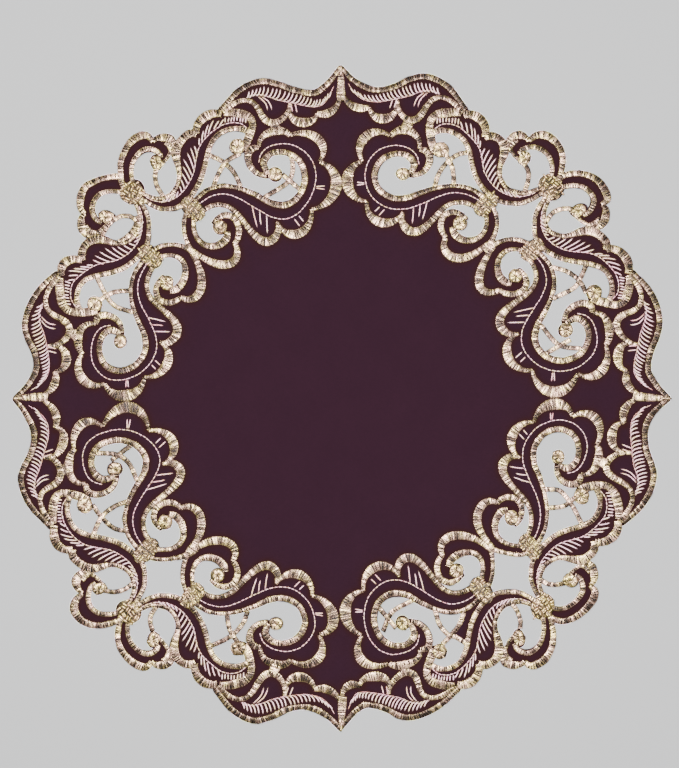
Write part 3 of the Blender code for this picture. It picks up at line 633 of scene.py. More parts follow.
def satin(heap, line, rng, rise, pitch=1.45, base=None, low=0.0, sway=0.12, dark=0.0, proud=0.0, keep=None,
          outer=0, flange=0.14, plain=0.0, darker_stretch=None, edge=0.0):
    """A column of satin stitches along a line (x, y, width).

    Each stitch is a flat-topped ridge with a gap beside it that is painted dark
    as shade.  The gaps run in from the outer side (-1 left, 1 right, 0 either),
    some of them only part of the way.  Both feet are painted dark as shade: a thin
    line beside cloth, a turned-down edge at an opening.  Where the stitches turn at
    the sides their tone is raised as a painted highlight.
    """
    base = CLOTH_TOP - 0.08 if base is None else base
    along = along_of(line)
    total = along[-1]
    count = max(3, int(round(total / pitch)))
    cuts = np.linspace(0, total, count + 1)
    cuts[1:-1] += rng.uniform(-0.3, 0.3, count - 1) * pitch
    size = np.diff(cuts)
    at = np.empty(3 * count + 1)
    open_by = rng.uniform(0.22, 0.48, (2, count))
    at[0::3], at[1::3], at[2::3] = cuts, cuts[:-1] + open_by[0] * size, cuts[:-1] + (1 - open_by[1] * 0.9) * size
    crest = np.ones(len(at))
    crest[0::3] = 0
    stitch = np.minimum(np.arange(len(at)) // 3, count - 1)
    place, t, width = read_at(line, along, at)
    side = np.stack([-t[:, 1], t[:, 0]], 1)
    half = width / 2
    loose = rng.normal(0, 0.045, (count, 2))[stitch]
    ragged = loose + np.where(crest > 0, edge, edge - 0.06)[:, None]
    reach = np.where(ACROSS[None, :] < 0, (half + ragged[:, 0])[:, None], (half + ragged[:, 1])[:, None]) * ACROSS
    lean = sway * np.interp(at, np.linspace(0, total, 6), rng.uniform(-1, 1, 6)) + rng.normal(0, 0.05, count)[stitch]
    shift = reach * lean[:, None]
    xy = place[:, None, :] + side[:, None, :] * reach[..., None] + t[:, None, :] * shift[..., None]
    deep = np.where(rng.random(len(at)) < 0.82, rng.uniform(0.7, 1.0, len(at)), rng.uniform(0.1, 0.4, len(at)))
    way = rng.choice([-1, 1], len(at)) if outer == 0 else np.where(rng.random(len(at)) < 0.8, outer, -outer)
    length = np.where(rng.random(len(at)) < 0.55, rng.uniform(0.4, 1.2, len(at)), rng.uniform(1.2, 2.5, len(at)))
    inset = 1 - way[:, None] * ACROSS[None, :]
    slit = deep[:, None] * np.clip((length[:, None] - inset) / 0.4 + 0.5, 0, 1)
    slit = slit * np.clip(np.minimum(inset, 2 - inset) / 0.3, 0.12, 1)     # the painted gap shade is weaker at the turned edges, which stay bright
    slit = np.where(crest[:, None] > 0, 0, np.maximum(slit, 0.1))
    height = rise * rng.uniform(0.9, 1.1, count)[stitch]
    profile = 1 - 0.5 * np.abs(ACROSS) ** 4
    z = base + height[:, None] * (0.12 + 0.88 * profile) * (1 - 0.62 * slit)
    ends = np.clip(np.minimum(at, total - at) / 0.9, 0, 1) ** 0.5
    z = base + (z - base) * (0.25 + 0.75 * ends)[:, None] + proud
    top = np.concatenate([xy, z[..., None]], axis=2)
    # the foot on each side: a thin line on cloth, a turned-down edge at an opening; both are painted dark as shade (gap
    # below)
    feet = []
    for column, sign in ((0, -1), (-1, 1)):
        brink = xy[:, column]
        wide = on_cloth(brink + sign * side * 1.1) if flange else np.zeros(len(at), bool)
        out = np.where(wide, flange, 0.02 - edge if flange else 0.05)[:, None]
        feet.append((np.concatenate([brink + sign * side * out,
                                     np.where(wide, CLOTH_TOP + 0.03, low + 0.6 * (base - low))[:, None]], 1), wide))
    under = [np.concatenate([foot[:, :2], np.full((len(at), 1), low)], 1) for foot, _ in feet]
    points = np.concatenate([feet[0][0][:, None], top, feet[1][0][:, None], under[1][:, None], under[0][:, None]], axis=1)
    kind = rng.random(count)
    white = np.where(kind < 0.2, rng.uniform(0.1, 0.4, count), np.where(kind < 0.5, rng.uniform(0.4, 0.65, count),
                                                                      rng.uniform(0.7, 1.1, count)))[stitch]
    knots = max(3, int(total / 5))
    slow = np.interp(at, np.linspace(0, total, knots), rng.normal(0, 1, knots))
    tone = np.clip(white + 0.13 * slow - dark, -0.05, 1.1)
    # darker_stretch lowers the tone along part of the line
    if darker_stretch is not None:
        tone = tone - np.interp(at / total, *darker_stretch)
    tone = np.repeat(tone[:, None], points.shape[1], axis=1)
    # painted highlight: each stitch is painted lighter towards its turned sides and darker in the middle
    tone[:, 1:1 + len(ACROSS)] += 0.16 * np.abs(ACROSS) ** 2 - 0.1
    if flange:
        brink = np.where(np.abs(ACROSS) > 0.8, 1.0, 0.0)                   # painted highlight where the stitches turn at the sides
        lit = np.maximum(tone[:, 1:1 + len(ACROSS)], 0.66 - dark)
        tone[:, 1:1 + len(ACROSS)] += 0.85 * brink * (lit - tone[:, 1:1 + len(ACROSS)])
    # gap: painted shade in the slits between stitches and on the feet; the material mixes it towards a dark shade
    # colour
    gap = np.zeros(points.shape[:2])
    gap[:, 1:1 + len(ACROSS)] = slit
    gap[:, 1] = np.maximum(gap[:, 1], 0.06)
    gap[:, len(ACROSS)] = np.maximum(gap[:, len(ACROSS)], 0.06)
    for column, (_, wide) in ((0, feet[0]), (1 + len(ACROSS), feet[1])):
        gap[:, column] = 0.8 if flange else 0.3
    gap = np.clip(gap - plain, 0, 2)
    reach = np.concatenate([reach[:, :1] - 0.3, reach, reach[:, -1:] + 0.3, reach[:, -1:], reach[:, :1]], 1)
    run = np.stack([np.repeat(at[:, None], points.shape[1], 1), reach], axis=2)
    if keep is not None:
        held = keep(at / total)
        parts = [p for p in np.split(np.arange(len(at)), np.where(np.diff(held.astype(int)) != 0)[0] + 1)
                 if held[p[0]] and len(p) > 2]
    else:
        parts = [np.arange(len(at))]
    for p in parts:
        heap.grid(points[p][:, ::-1], tone[p][:, ::-1], gap[p][:, ::-1], run[p][:, ::-1], closed_across=True)


RING = np.linspace(0, 2 * math.pi, 8)[:-1]


def thread(heap, points, low, radius, rng, tone=0.6, flat=0.8, stations=6, ends=(0.45, 0.45), arch=0.0):
    """One stitch of round thread through the points, tapered at its ends."""
    line = np.column_stack([np.array(points, float)[:, :2], np.ones(len(points))])
    along = along_of(line)
    share = np.linspace(0, 1, stations)
    place, t, _ = read_at(line, along, share * along[-1])
    side = np.stack([-t[:, 1], t[:, 0]], 1)
    taper = np.minimum(np.interp(share, [0, 0.18, 0.82, 1], [ends[0], 1, 1, ends[1]]), 1)
    r = radius * taper
    lift = low + flat * r + arch * np.sin(math.pi * share)
    ring = np.stack([place[:, None, 0] + side[:, None, 0] * r[:, None] * np.cos(RING),
                     place[:, None, 1] + side[:, None, 1] * r[:, None] * np.cos(RING),
                     lift[:, None] + flat * r[:, None] * np.sin(RING)], axis=2)
    tones = np.full(ring.shape[:2], tone + rng.normal(0, 0.1))
    # painted shade where the tapered ends dip into the cloth
    gap = np.repeat(np.clip(0.55 * (1 - taper), 0, 1)[:, None], len(RING), 1)
    run = np.stack([np.repeat((share * along[-1])[:, None], len(RING), 1), np.repeat((RING / 2)[None, :], stations, 0)], 2)
    heap.grid(ring, np.clip(tones, 0, 1), gap, run, closed_across=True)


def running(heap, line, rng, radius=0.3, stitch=2.4, gap=0.3, low=None, tone=0.62):
    """A row of running stitches along a line."""
    low = CLOTH_TOP - 0.12 if low is None else low
    along = along_of(line)
    at = 0.0
    while at < along[-1] - 0.8:
        length = stitch * rng.uniform(0.85, 1.15)
        stop = min(at + length, along[-1])
        if stop - at > 0.6:
            place, _, _ = read_at(line, along, np.linspace(at, stop, 4))
            place = place + rng.normal(0, 0.05, 2)
            thread(heap, place, low, radius * rng.uniform(0.9, 1.1), rng, tone=tone, stations=5, arch=0.08, ends=(0.8, 0.8))
        at = stop + gap * rng.uniform(0.5, 1.4)


def outer_side(line):
    """1 when the left of a line is its outer side, -1 when the right is, else 0."""
    t = np.gradient(line[:, :2], axis=0)
    t /= np.maximum(np.linalg.norm(t, axis=1), 1e-9)[:, None]
    side = np.stack([-t[:, 1], t[:, 0]], 1)
    beyond = line[:, 2:3] / 2 + 1.0
    left, right = (on_cloth(line[:, :2] + sign * side * beyond).mean() for sign in (1, -1))
    if abs(left - right) > 0.25:
        return 1 if left < right else -1
    turned = np.sum(t[:-1, 0] * t[1:, 1] - t[:-1, 1] * t[1:, 0])
    return 0 if abs(turned) < 0.5 else (-1 if turned > 0 else 1)


def fan(keys, count):
    """Feet and heads of a fan of stitches, evenly spaced through the key stitches."""
    feet = np.array([k[0] for k in keys], float)
    heads = np.array([k[1] for k in keys], float)
    share = np.concatenate([[0], np.cumsum(np.hypot(*np.diff((feet + heads) / 2, axis=0).T))])
    want = np.linspace(0, share[-1], count)
    return [np.stack([np.interp(want, share, ends[:, i]) for i in (0, 1)], 1) for ends in (feet, heads)]


def curled_line(x, y, half_length, half_width, lean):
    """Centre line of a ball of stitching that curls in on itself."""
    k = np.linspace(0, 1, 40)
    turn = math.radians(lean + 40) + 2 * math.pi * 1.2 * k
    radius = 0.66 - 0.38 * k
    return np.stack([x + half_length * radius * np.cos(turn), y + half_width * radius * np.sin(turn),
                     (half_length + half_width) / 2 * (0.70 - 0.08 * k)], axis=1)


def oval_line(x, y, half_length, half_width, lean, bend=0.0):
    """Centre line (x, y, width) of an oval, to be filled with stitches across it."""
    turn = math.radians(lean)
    k = np.linspace(-1, 1, 19)
    width = 2 * half_width * np.sqrt(np.maximum(0.02, 1 - np.abs(k) ** 2.2))
    a, b = half_length * k, bend * (1 - k ** 2)
    return np.stack([x + a * math.cos(turn) - b * math.sin(turn),
                     y + a * math.sin(turn) + b * math.cos(turn), width], axis=1)


def put(line, copy):
    """A drawn line (x, y, width) in place, in millimetres."""
    line = np.asarray(line, float)
    there = placed(line[:, :2], copy)
    return np.column_stack([there, line[:, 2] * MM]) if line.shape[1] > 2 else there


def there(points):
    """Cloth units (right of and above the centre) to millimetres."""
    p = np.asarray(points, float)
    p = np.column_stack([(p[:, 0] - MIDDLE[0]) * MM, (p[:, 1] - MIDDLE[1]) * MM])
    return p


def on_cloth(points):
    """Which points have cloth under them: in the outline and in no opening."""
    p = np.asarray(points, float)
    held = inside(p, LOOPS[0])
    for hole in LOOPS[1:]:
        low, high = hole.min(axis=0), hole.max(axis=0)
        close = np.where(held & np.all((p > low) & (p < high), axis=1))[0]
        if len(close):
            held[close[inside(p[close], hole)]] = False
    return held



# ---------------------------------------------------------------- materials
def nodes_of(name):
    material = bpy.data.materials.new(name)
    material.use_nodes = True
    tree = material.node_tree
    return material, tree, tree.nodes["Principled BSDF"]


def link(tree, out, into):
    tree.links.new(out, into)


def maths(tree, operation, a, b=None):
    node = tree.nodes.new("ShaderNodeMath")
    node.operation = operation
    for socket, value in zip(node.inputs, (a, b)):
        if isinstance(value, (int, float)):
            socket.default_value = value
        elif value is not None:
            link(tree, value, socket)
    return node.outputs[0]


def mixed(tree, factor, a, b):
    node = tree.nodes.new("ShaderNodeMix")
    node.data_type = "RGBA"
    for socket, value in ((node.inputs[0], factor), (node.inputs[6], a), (node.inputs[7], b)):
        if isinstance(value, (int, float)):
            socket.default_value = value
        elif isinstance(value, tuple):
            socket.default_value = (*value, 1.0)
        else:
            link(tree, value, socket)
    return node.outputs[2]


def attribute(tree, name):
    node = tree.nodes.new("ShaderNodeAttribute")
    node.attribute_name = name
    return node.outputs["Fac"]


def noise(tree, vector, scale, detail=2.0, rough=0.5):
    node = tree.nodes.new("ShaderNodeTexNoise")
    node.inputs["Scale"].default_value = scale
    node.inputs["Detail"].default_value = detail
    node.inputs["Roughness"].default_value = rough
    link(tree, vector, node.inputs["Vector"])
    return node.outputs["Fac"]


def stretched(tree, vector, x, y, z=1.0):
    node = tree.nodes.new("ShaderNodeVectorMath")
    node.operation = "MULTIPLY"
    link(tree, vector, node.inputs[0])
    node.inputs[1].default_value = (x, y, z)
    return node.outputs[0]


def ramp(tree, factor, stops):
    node = tree.nodes.new("ShaderNodeValToRGB")
    link(tree, factor, node.inputs[0])
    for k, (at, colour) in enumerate(stops):
        stop = node.color_ramp.elements[k] if k < 2 else node.color_ramp.elements.new(at)
        stop.position = at
        stop.color = (*colour, 1.0)
    return node.outputs[0]


def bumped(tree, surface, layers):
    """Bump from (height, strength, distance) layers, the coarsest first."""
    normal = None
    for height, strength, distance in layers:
        node = tree.nodes.new("ShaderNodeBump")
        node.inputs["Strength"].default_value = strength
        node.inputs["Distance"].default_value = distance
        link(tree, height, node.inputs["Height"])
        if normal is not None:
            link(tree, normal, node.inputs["Normal"])
        normal = node.outputs[0]
    link(tree, normal, surface.inputs["Normal"])


def thread_material(name, stops, shade, metal, rough, speck=0.7):
    """Lustrous embroidery thread: streaks and plies run along every stitch; the gap attribute paints shade into the
    colour.
    """
    material, tree, surface = nodes_of(name)
    uv = tree.nodes.new("ShaderNodeUVMap")
    uv.uv_map = "run"
    run = uv.outputs[0]
    split = tree.nodes.new("ShaderNodeSeparateXYZ")
    link(tree, run, split.inputs[0])
    at = tree.nodes.new("ShaderNodeTexCoord").outputs["Object"]
    streak = noise(tree, stretched(tree, run, 3.2, 0.45), 1.0, 3.0, 0.6)
    fleck = noise(tree, stretched(tree, run, 2.0, 1.5), 1.0, 2.0, 0.6)
    spots = noise(tree, at, 1200.0, 1.0, 0.5)
    hue = maths(tree, "ADD", maths(tree, "MULTIPLY", noise(tree, at, 330.0, 2.0, 0.6), 0.55),
                maths(tree, "MULTIPLY", noise(tree, at, 75.0, 2.0, 0.6), 0.45))
    tone = maths(tree, "ADD", attribute(tree, "tone"),
                 maths(tree, "MULTIPLY", maths(tree, "SUBTRACT", streak, 0.5), 1.0))
    tone = maths(tree, "ADD", tone, maths(tree, "MULTIPLY", maths(tree, "SUBTRACT", fleck, 0.5), 1.4))
    colour = ramp(tree, tone, stops)
    warm = ramp(tree, hue, [(0.42, (1.0, 0.86, 1.05)), (0.50, (1.0, 0.96, 1.0)), (0.58, (0.92, 0.96, 0.66))])
    tint = tree.nodes.new("ShaderNodeMix")
    tint.data_type, tint.blend_type = "RGBA", "MULTIPLY"
    tint.inputs[0].default_value = 1.0
    link(tree, colour, tint.inputs[6])
    link(tree, warm, tint.inputs[7])
    spots = maths(tree, "MAXIMUM", maths(tree, "MULTIPLY", maths(tree, "SUBTRACT", spots, 0.61), 7.0), 0.0)
    # painted shade: the gap attribute (slits, feet, thread ends) mixes towards the shade colour; the spots add random
    # dark specks
    gap = maths(tree, "ADD", maths(tree, "MULTIPLY", attribute(tree, "gap"), 3.2), maths(tree, "MINIMUM", spots, speck))
    gap = maths(tree, "MINIMUM", gap, 1.0)
    colour = mixed(tree, maths(tree, "MULTIPLY", gap, 0.97), tint.outputs[2], shade)
    link(tree, colour, surface.inputs["Base Color"])
    link(tree, maths(tree, "ADD", maths(tree, "MULTIPLY", fleck, 0.16), rough - 0.08), surface.inputs["Roughness"])
    surface.inputs["Metallic"].default_value = metal
    surface.inputs["Specular IOR Level"].default_value = 0.4
    ply = maths(tree, "SINE", maths(tree, "MULTIPLY", split.outputs[0], 2 * math.pi / 0.38))
    bumped(tree, surface, [(streak, 0.35, 0.00012), (ply, 0.5, 0.00004)])
    return material


def cloth_material():
    """Plum plain-weave cloth, painted redder with less blue close to the gold stitching as painted shade from the
    raised thread.
    """
    material, tree, surface = nodes_of("plum_cloth")
    at = tree.nodes.new("ShaderNodeTexCoord").outputs["Object"]
    split = tree.nodes.new("ShaderNodeSeparateXYZ")
    link(tree, at, split.inputs[0])
    weft = maths(tree, "SINE", maths(tree, "MULTIPLY", split.outputs[0], 2 * math.pi / 0.00042))
    warp = maths(tree, "SINE", maths(tree, "MULTIPLY", split.outputs[1], 2 * math.pi / 0.00046))
    weave = maths(tree, "MULTIPLY", weft, warp)
    slub = noise(tree, stretched(tree, at, 260, 1500), 1.0, 2.0)
    soft = noise(tree, at, 42.0, 3.0)
    fine = noise(tree, at, 900.0, 2.0)
    near = attribute(tree, "near")
    plum = mixed(tree, soft, (0.0136, 0.0039, 0.0088), (0.0162, 0.0048, 0.0104))
    # painted shade: close to the raised stitching (attribute near) the plum is painted redder, with less blue
    colour = mixed(tree, near, plum, (0.0165, 0.0042, 0.0030))
    value = maths(tree, "ADD", 0.78, maths(tree, "MULTIPLY", maths(tree, "ADD", fine, slub), 0.22))
    value = maths(tree, "ADD", value, maths(tree, "MULTIPLY", weave, 0.06))
    shade = tree.nodes.new("ShaderNodeVectorMath")
    shade.operation = "SCALE"
    link(tree, colour, shade.inputs[0])
    link(tree, value, shade.inputs["Scale"])
    link(tree, shade.outputs[0], surface.inputs["Base Color"])
    surface.inputs["Roughness"].default_value = 0.85
    surface.inputs["Specular IOR Level"].default_value = 0.06
    surface.inputs["Sheen Weight"].default_value = 0.02
    surface.inputs["Sheen Roughness"].default_value = 0.4
    bumped(tree, surface, [(soft, 0.25, 0.0012), (weave, 0.35, 0.00005), (fine, 0.2, 0.0001)])
    return material


def plain_material(name, colour, rough):
    material, tree, surface = nodes_of(name)
    at = tree.nodes.new("ShaderNodeTexCoord").outputs["Object"]
    soft = noise(tree, at, 3.0, 2.0)
    link(tree, mixed(tree, soft, colour, tuple(c * 0.97 for c in colour)), surface.inputs["Base Color"])
    surface.inputs["Roughness"].default_value = rough
    return material


# -------------------------------------------------------------------- cloth
STEP = 2.2


def drawn_lines(copy):
    """Every stitched line of one copy of the motif, as drawn (x, y, width)."""
    lines = {row[0]: lobe_line(*row[1:], STEP) for row in LOBES}
    for name, rows in SCROLLS.items():
        if name == "hook_crown" and COPIES[copy][0] in WIDE_CROWNS:
            rows = rows[:CROWN_KEPT] + WIDE_CROWNS[COPIES[copy][0]]
        lines[name] = smooth_line(rows, STEP)
    return lines


def cloth_loops(lines):
    shapes, seeds = [], []
    seed_points = np.array([row[1:] for row in OPENINGS], float)
    for copy in range(len(COPIES)):
        for name, line in lines[copy].items():
            if name in EDGE_LOBES or name in EDGE_SCROLLS:
                shapes.append(placed(ribbon(line), copy))
        shapes += [placed(oval(*row[1:]), copy) for row in FILLED]
        seeds += list(placed(seed_points, copy))
    # a scrap of cloth left uncut in the lower right scroll opening
    shapes.append(there([(122, -212), (131, -216), (127, -243), (111, -237)]))
    loops = sorted(kept_loops(shapes, seeds), key=lambda loop: -abs(area(loop)))
    return [simplified(loops[0])] + [simplified(l) for l in loops[1:] if -area(l) > SMALLEST_OPENING]


def cloth_piece(lines, loops, material):
    samples = []
    for copy in range(len(COPIES)):
        for line in lines[copy].values():
            done = put(line, copy)
            samples.append(done)
        for row in FILLED:
            samples.append(put(oval_line(*row[1:6]), copy))
        # the fans count as stitching too, so the cloth among their threads gets the painted shade
        for _, count, _, _, keys in FANS:
            for share in (0.15, 0.5, 0.85):
                feet, heads = fan(keys, count)
                middle = feet + share * (heads - feet)
                samples.append(put(np.column_stack([middle, np.full(count, 2.0)]), copy))
    samples = np.concatenate(samples)
    tree = KDTree(len(samples))
    for i, (x, y, w) in enumerate(samples):
        tree.insert((x, y, 0), i)
    tree.balance()

    def clear_of(points):
        gaps = []
        for x, y in points:
            gaps.append(min(d - samples[i, 2] / 2 for _, i, d in tree.find_n((x, y, 0), 3)))
        return np.array(gaps)

    fine, coarse = 1.25, 9.0
    reach = CLOTH_WIDTH * 0.52
    grid = []
    for j, y in enumerate(np.arange(-reach, reach, fine * 0.866)):
        xs = np.arange(-reach, reach, fine) + (fine / 2 if j % 2 else 0)
        grid.append(np.stack([xs, np.full_like(xs, y)], 1))
    grid = np.concatenate(grid)
    radius = np.linalg.norm(grid, axis=1)
    grid = grid[(radius > 60) & (radius < reach)]
    gaps = clear_of(grid)
    near = grid[(gaps > 0.35) & (gaps < 4.2)]
    wide = []
    for j, y in enumerate(np.arange(-reach, reach, coarse * 0.866)):
        xs = np.arange(-reach, reach, coarse) + (coarse / 2 if j % 2 else 0)
        wide.append(np.stack([xs, np.full_like(xs, y)], 1))
    wide = np.concatenate(wide)
    wide = wide[(np.linalg.norm(wide, axis=1) < reach)]
    wide = wide[clear_of(wide) > 5.0]
    extra = np.concatenate([near, wide])
    keep = inside(extra, loops[0])
    for hole in loops[1:]:
        keep &= ~inside(extra, hole)
    edge_points = np.concatenate(loops)
    edge_tree = KDTree(len(edge_points))
    for i, (x, y) in enumerate(edge_points):
        edge_tree.insert((x, y, 0), i)
    edge_tree.balance()
    keep &= np.array([edge_tree.find((x, y, 0))[2] > 0.45 for x, y in extra])
    extra = extra[keep]

    points, edges = [], []
    for loop in loops:
        first = len(points)
        points += [tuple(map(float, p)) for p in loop]
        edges += [(first + i, first + (i + 1) % len(loop)) for i in range(len(loop))]
    points += [tuple(map(float, p)) for p in extra]
    verts, _, tris, *_ = delaunay_2d_cdt(points, edges, [], 1, 1e-4)
    verts, tris = np.array([tuple(v) for v in verts]), np.array([tuple(f) for f in tris])
    middles = verts[tris].mean(axis=1)
    solid = inside(middles, loops[0])
    for hole in loops[1:]:
        solid &= ~inside(middles, hole)
    tris = tris[solid]
    a, b, c = verts[tris[:, 0]], verts[tris[:, 1]], verts[tris[:, 2]]
    turned = (b[:, 0] - a[:, 0]) * (c[:, 1] - a[:, 1]) - (b[:, 1] - a[:, 1]) * (c[:, 0] - a[:, 0])
    tris[turned < 0] = tris[turned < 0][:, ::-1]
    flat_area = float(np.abs(turned).sum()) / 2
    used = np.unique(tris)
    remap = -np.ones(len(verts), int)
    remap[used] = np.arange(len(used))
    verts, tris = verts[used], remap[tris]
    count = len(verts)
    # painted shade weight: 1 at the stitching, fading over a few millimetres
    painted_shade_near = np.exp(-np.maximum(clear_of(verts), 0) / 1.6)
    faces = tris.tolist() + (tris[:, ::-1] + count).tolist()
    rim = {}
    for p, q in np.concatenate([tris[:, [0, 1]], tris[:, [1, 2]], tris[:, [2, 0]]]).tolist():
        if (q, p) in rim:
            del rim[(q, p)]
        else:
            rim[(p, q)] = True
    faces += [(q, p, p + count, q + count) for p, q in rim]
    high = np.column_stack([verts, np.full(count, CLOTH_TOP)])
    low = np.column_stack([verts, np.full(count, CLOTH_LOW)])
    mesh = bpy.data.meshes.new("doily_sheet")
    mesh.from_pydata((np.concatenate([high, low]) / 1000).tolist(), [], faces)
    mesh.attributes.new("near", "FLOAT", "POINT").data.foreach_set(
        "value", np.concatenate([painted_shade_near, painted_shade_near]).astype(np.float32))
    mesh.shade_flat()
    mesh.materials.append(material)
    piece = bpy.data.objects.new("doily_sheet", mesh)
    bpy.context.scene.collection.objects.link(piece)
    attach(piece, "root")
    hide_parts("doily_cloth")
    return piece, flat_area / 1e6


# --------------------------------------------------------------- embroidery
DULL = {"leaf_edge": 0.28, "petal_three": 0.1, "leaf_lobe_one": 0.1, "leaf_joint": 0.1, "spiral": 0.06, "lower_s": 0.06, "hook_side": 0.05}


def embroidery(lines):
    gold = thread_material(
        "champagne_thread",
        [(0.0, (0.03, 0.019, 0.011)), (0.28, (0.115, 0.077, 0.045)), (0.55, (0.30, 0.21, 0.128)), (0.9, (0.86, 0.62, 0.37))],
        (0.004, 0.0018, 0.0016), 0.75, 0.28)
    cream = thread_material(
        "cream_knot_thread",
        [(0.0, (0.04, 0.027, 0.011)), (0.28, (0.18, 0.125, 0.056)), (0.55, (0.42, 0.305, 0.145)), (0.9, (0.80, 0.60, 0.29))],
        (0.004, 0.0018, 0.001), 0.7, 0.3, speck=0.35)
    rose = thread_material(
        "rose_cream_thread",
        [(0.0, (0.30, 0.07, 0.08)), (0.35, (0.66, 0.25, 0.26)), (0.65, (0.94, 0.52, 0.50)), (0.95, (0.98, 0.72, 0.68))],
        (0.010, 0.0015, 0.002), 0.35, 0.38, speck=0.25)
    white = thread_material(
        "edge_thread",
        [(0.0, (0.30, 0.24, 0.22)), (0.35, (0.60, 0.53, 0.50)), (0.65, (0.85, 0.80, 0.78)), (0.95, (0.97, 0.95, 0.93))],
        (0.02, 0.01, 0.01), 0.3, 0.45)
    stems = np.array([put(np.array([(0.0, 304.0, 5.5)]), copy)[0] for copy, row in enumerate(COPIES) if not row[2]])
    pieces = []
    for copy, (place_name, _, mirrored) in enumerate(COPIES):
        rng = np.random.default_rng(100 + copy)
        scrolls, fine, knots = Heap(), Heap(), Heap()
        for k, (name, line) in enumerate(lines[copy].items()):
            done = put(line, copy)
            if name in dict.fromkeys(row[0] for row in LOBES) and name not in EDGE_LOBES:
                done[:, 2] *= 0.72 + (0.2 if name == "leaf_lobe_two" else 0.4) * np.sin(math.pi * np.linspace(0, 1, len(done))) ** 0.8
            if name == "leaf_lobe_one":      # carried on into the foot of the nearest cusp stem
                nearest = np.argmin(np.linalg.norm(stems[:, :2] - done[0, :2], axis=1))
                done = np.vstack([stems[nearest], done])
            width = float(np.max(done[:, 2]))
            darker_stretch = None
            # this copy's crown is painted darker along part of its length
            if name == "hook_crown" and place_name == "right_upper":
                darker_stretch = ([0.2, 0.27, 0.48, 0.56], [0, 0.5, 0.5, 0])
            satin(scrolls, done, rng, rise=min(0.55, 0.26 + 0.055 * width), dark=DULL.get(name, 0.0) + 0.14,
                  proud=0.012 * (k % 5), darker_stretch=darker_stretch, outer=outer_side(done))
        if not mirrored:
            wedge = smooth_line([(0, y, w) for y, w in CUSP_WEDGE], STEP)
            satin(scrolls, put(wedge, copy), rng, rise=0.6, proud=0.07, dark=0.12)
            thread(scrolls, placed(np.array([(0, 333.2), (0, 329), (0, 322)]), copy), CLOTH_TOP, 0.75, rng, tone=0.8,
                   ends=(0.45, 0.6), arch=0.1)
        for row in FILLED:
            name = row[0]
            if name == "diagonal_knot" and mirrored:
                continue
            if "knot" in name:
                line = put(oval_line(*row[1:6], bend=0.8), copy)
                # the knot's base is painted dark, as the shade between the patches laid over it
                satin(knots, line, rng, rise=0.42, pitch=1.4, proud=0.04, dark=0.9)
                patches(knots, row, copy, rng)
            else:
                # the oval under the curl is painted darker, as the shade between the curl's turns
                satin(knots, put(oval_line(*row[1:6]), copy), rng, rise=0.5, pitch=1.4, proud=0.02, dark=0.45, edge=-0.1)
                line = put(curled_line(*row[1:6]), copy)
                satin(knots, line, rng, rise=0.5, pitch=1.5, base=CLOTH_TOP + 0.2, low=CLOTH_TOP, proud=0.05,
                      dark=0.0, flange=0, plain=0.0, edge=0.0)
        for bar in BARS[place_name]:
            satin(scrolls, smooth_line(anchored(bar), 1.0), rng, rise=0.42, pitch=1.6, base=0.6, low=0.15,
                  dark=0.22, sway=0.3, flange=0, plain=0.3, edge=0.05)
        for name, rows in RUNNING.items():
            line = put(smooth_line(np.column_stack([rows, np.ones(len(rows))]), STEP), copy)
            if name == "leaf_line":
                running(fine, line, rng, radius=0.22, stitch=5.0, gap=-0.1, tone=0.7)
            else:
                running(fine, line, rng, radius=0.32, stitch=2.5, gap=0.22, tone=0.85)
        for name, count, bow, run_on, keys in FANS:
            feet, heads = fan(keys, count)
            for k, (foot, head) in enumerate(zip(feet, heads)):
                foot = foot + rng.normal(0, 0.15, 2)
                head = head + rng.normal(0, 0.3, 2)
                across = bow * np.array([head[1] - foot[1], foot[0] - head[0]])
                line = [foot + 0.2 * (head - foot) + 0.8 * across, foot + 0.6 * (head - foot) + across, head]
                start = [foot]
                if run_on and k < count - 1:
                    start = [foot + run_on * (feet[k + 1] - feet[k]), foot + 0.12 * (feet[k + 1] - feet[k])]
                thread(fine, placed(np.array(start + line), copy), CLOTH_TOP - 0.08, 0.44, rng,
                       tone=1.0, ends=(0.6 if run_on else 0.9, 0.45), arch=0.1, stations=7)
        for points in STITCHES:
            line = placed(np.array(points, float), copy)
            thread(fine, line, CLOTH_TOP - 0.08, 0.40, rng, tone=0.8, ends=(0.9, 0.4), arch=0.1)
        pieces.append(scrolls.build("scrolls_" + place_name, gold, "thread"))
        pieces.append(fine.build("fine_stitches_" + place_name, rose, "thread"))
        pieces.append(knots.build("knots_" + place_name, cream, "thread"))
    rims, rng = Heap(), np.random.default_rng(7)
    for loop in LOOPS:
        rim(rims, loop, rng)
    pieces.append(rims.build("edge_threads", white, "thread"))
    return pieces


def anchored(bar):
    """A thread bar in millimetres, each end carried on until it lies on the cloth."""
    rows = [(*p, 4.6) if len(p) == 2 else p for p in bar]
    for end, near in ((0, 1), (-1, -2)):
        tip, before = np.array(rows[end][:2]), np.array(rows[near][:2])
        way = (tip - before) / np.linalg.norm(tip - before)
        for _ in range(20):
            if on_cloth(there([tip - 0.6 * way]))[0]:
                break
            tip = tip + 0.6 * way
        rows[end] = (*tip, rows[end][2])
    rows = np.array(rows, float)
    return np.column_stack([there(rows[:, :2]), rows[:, 2] * MM])


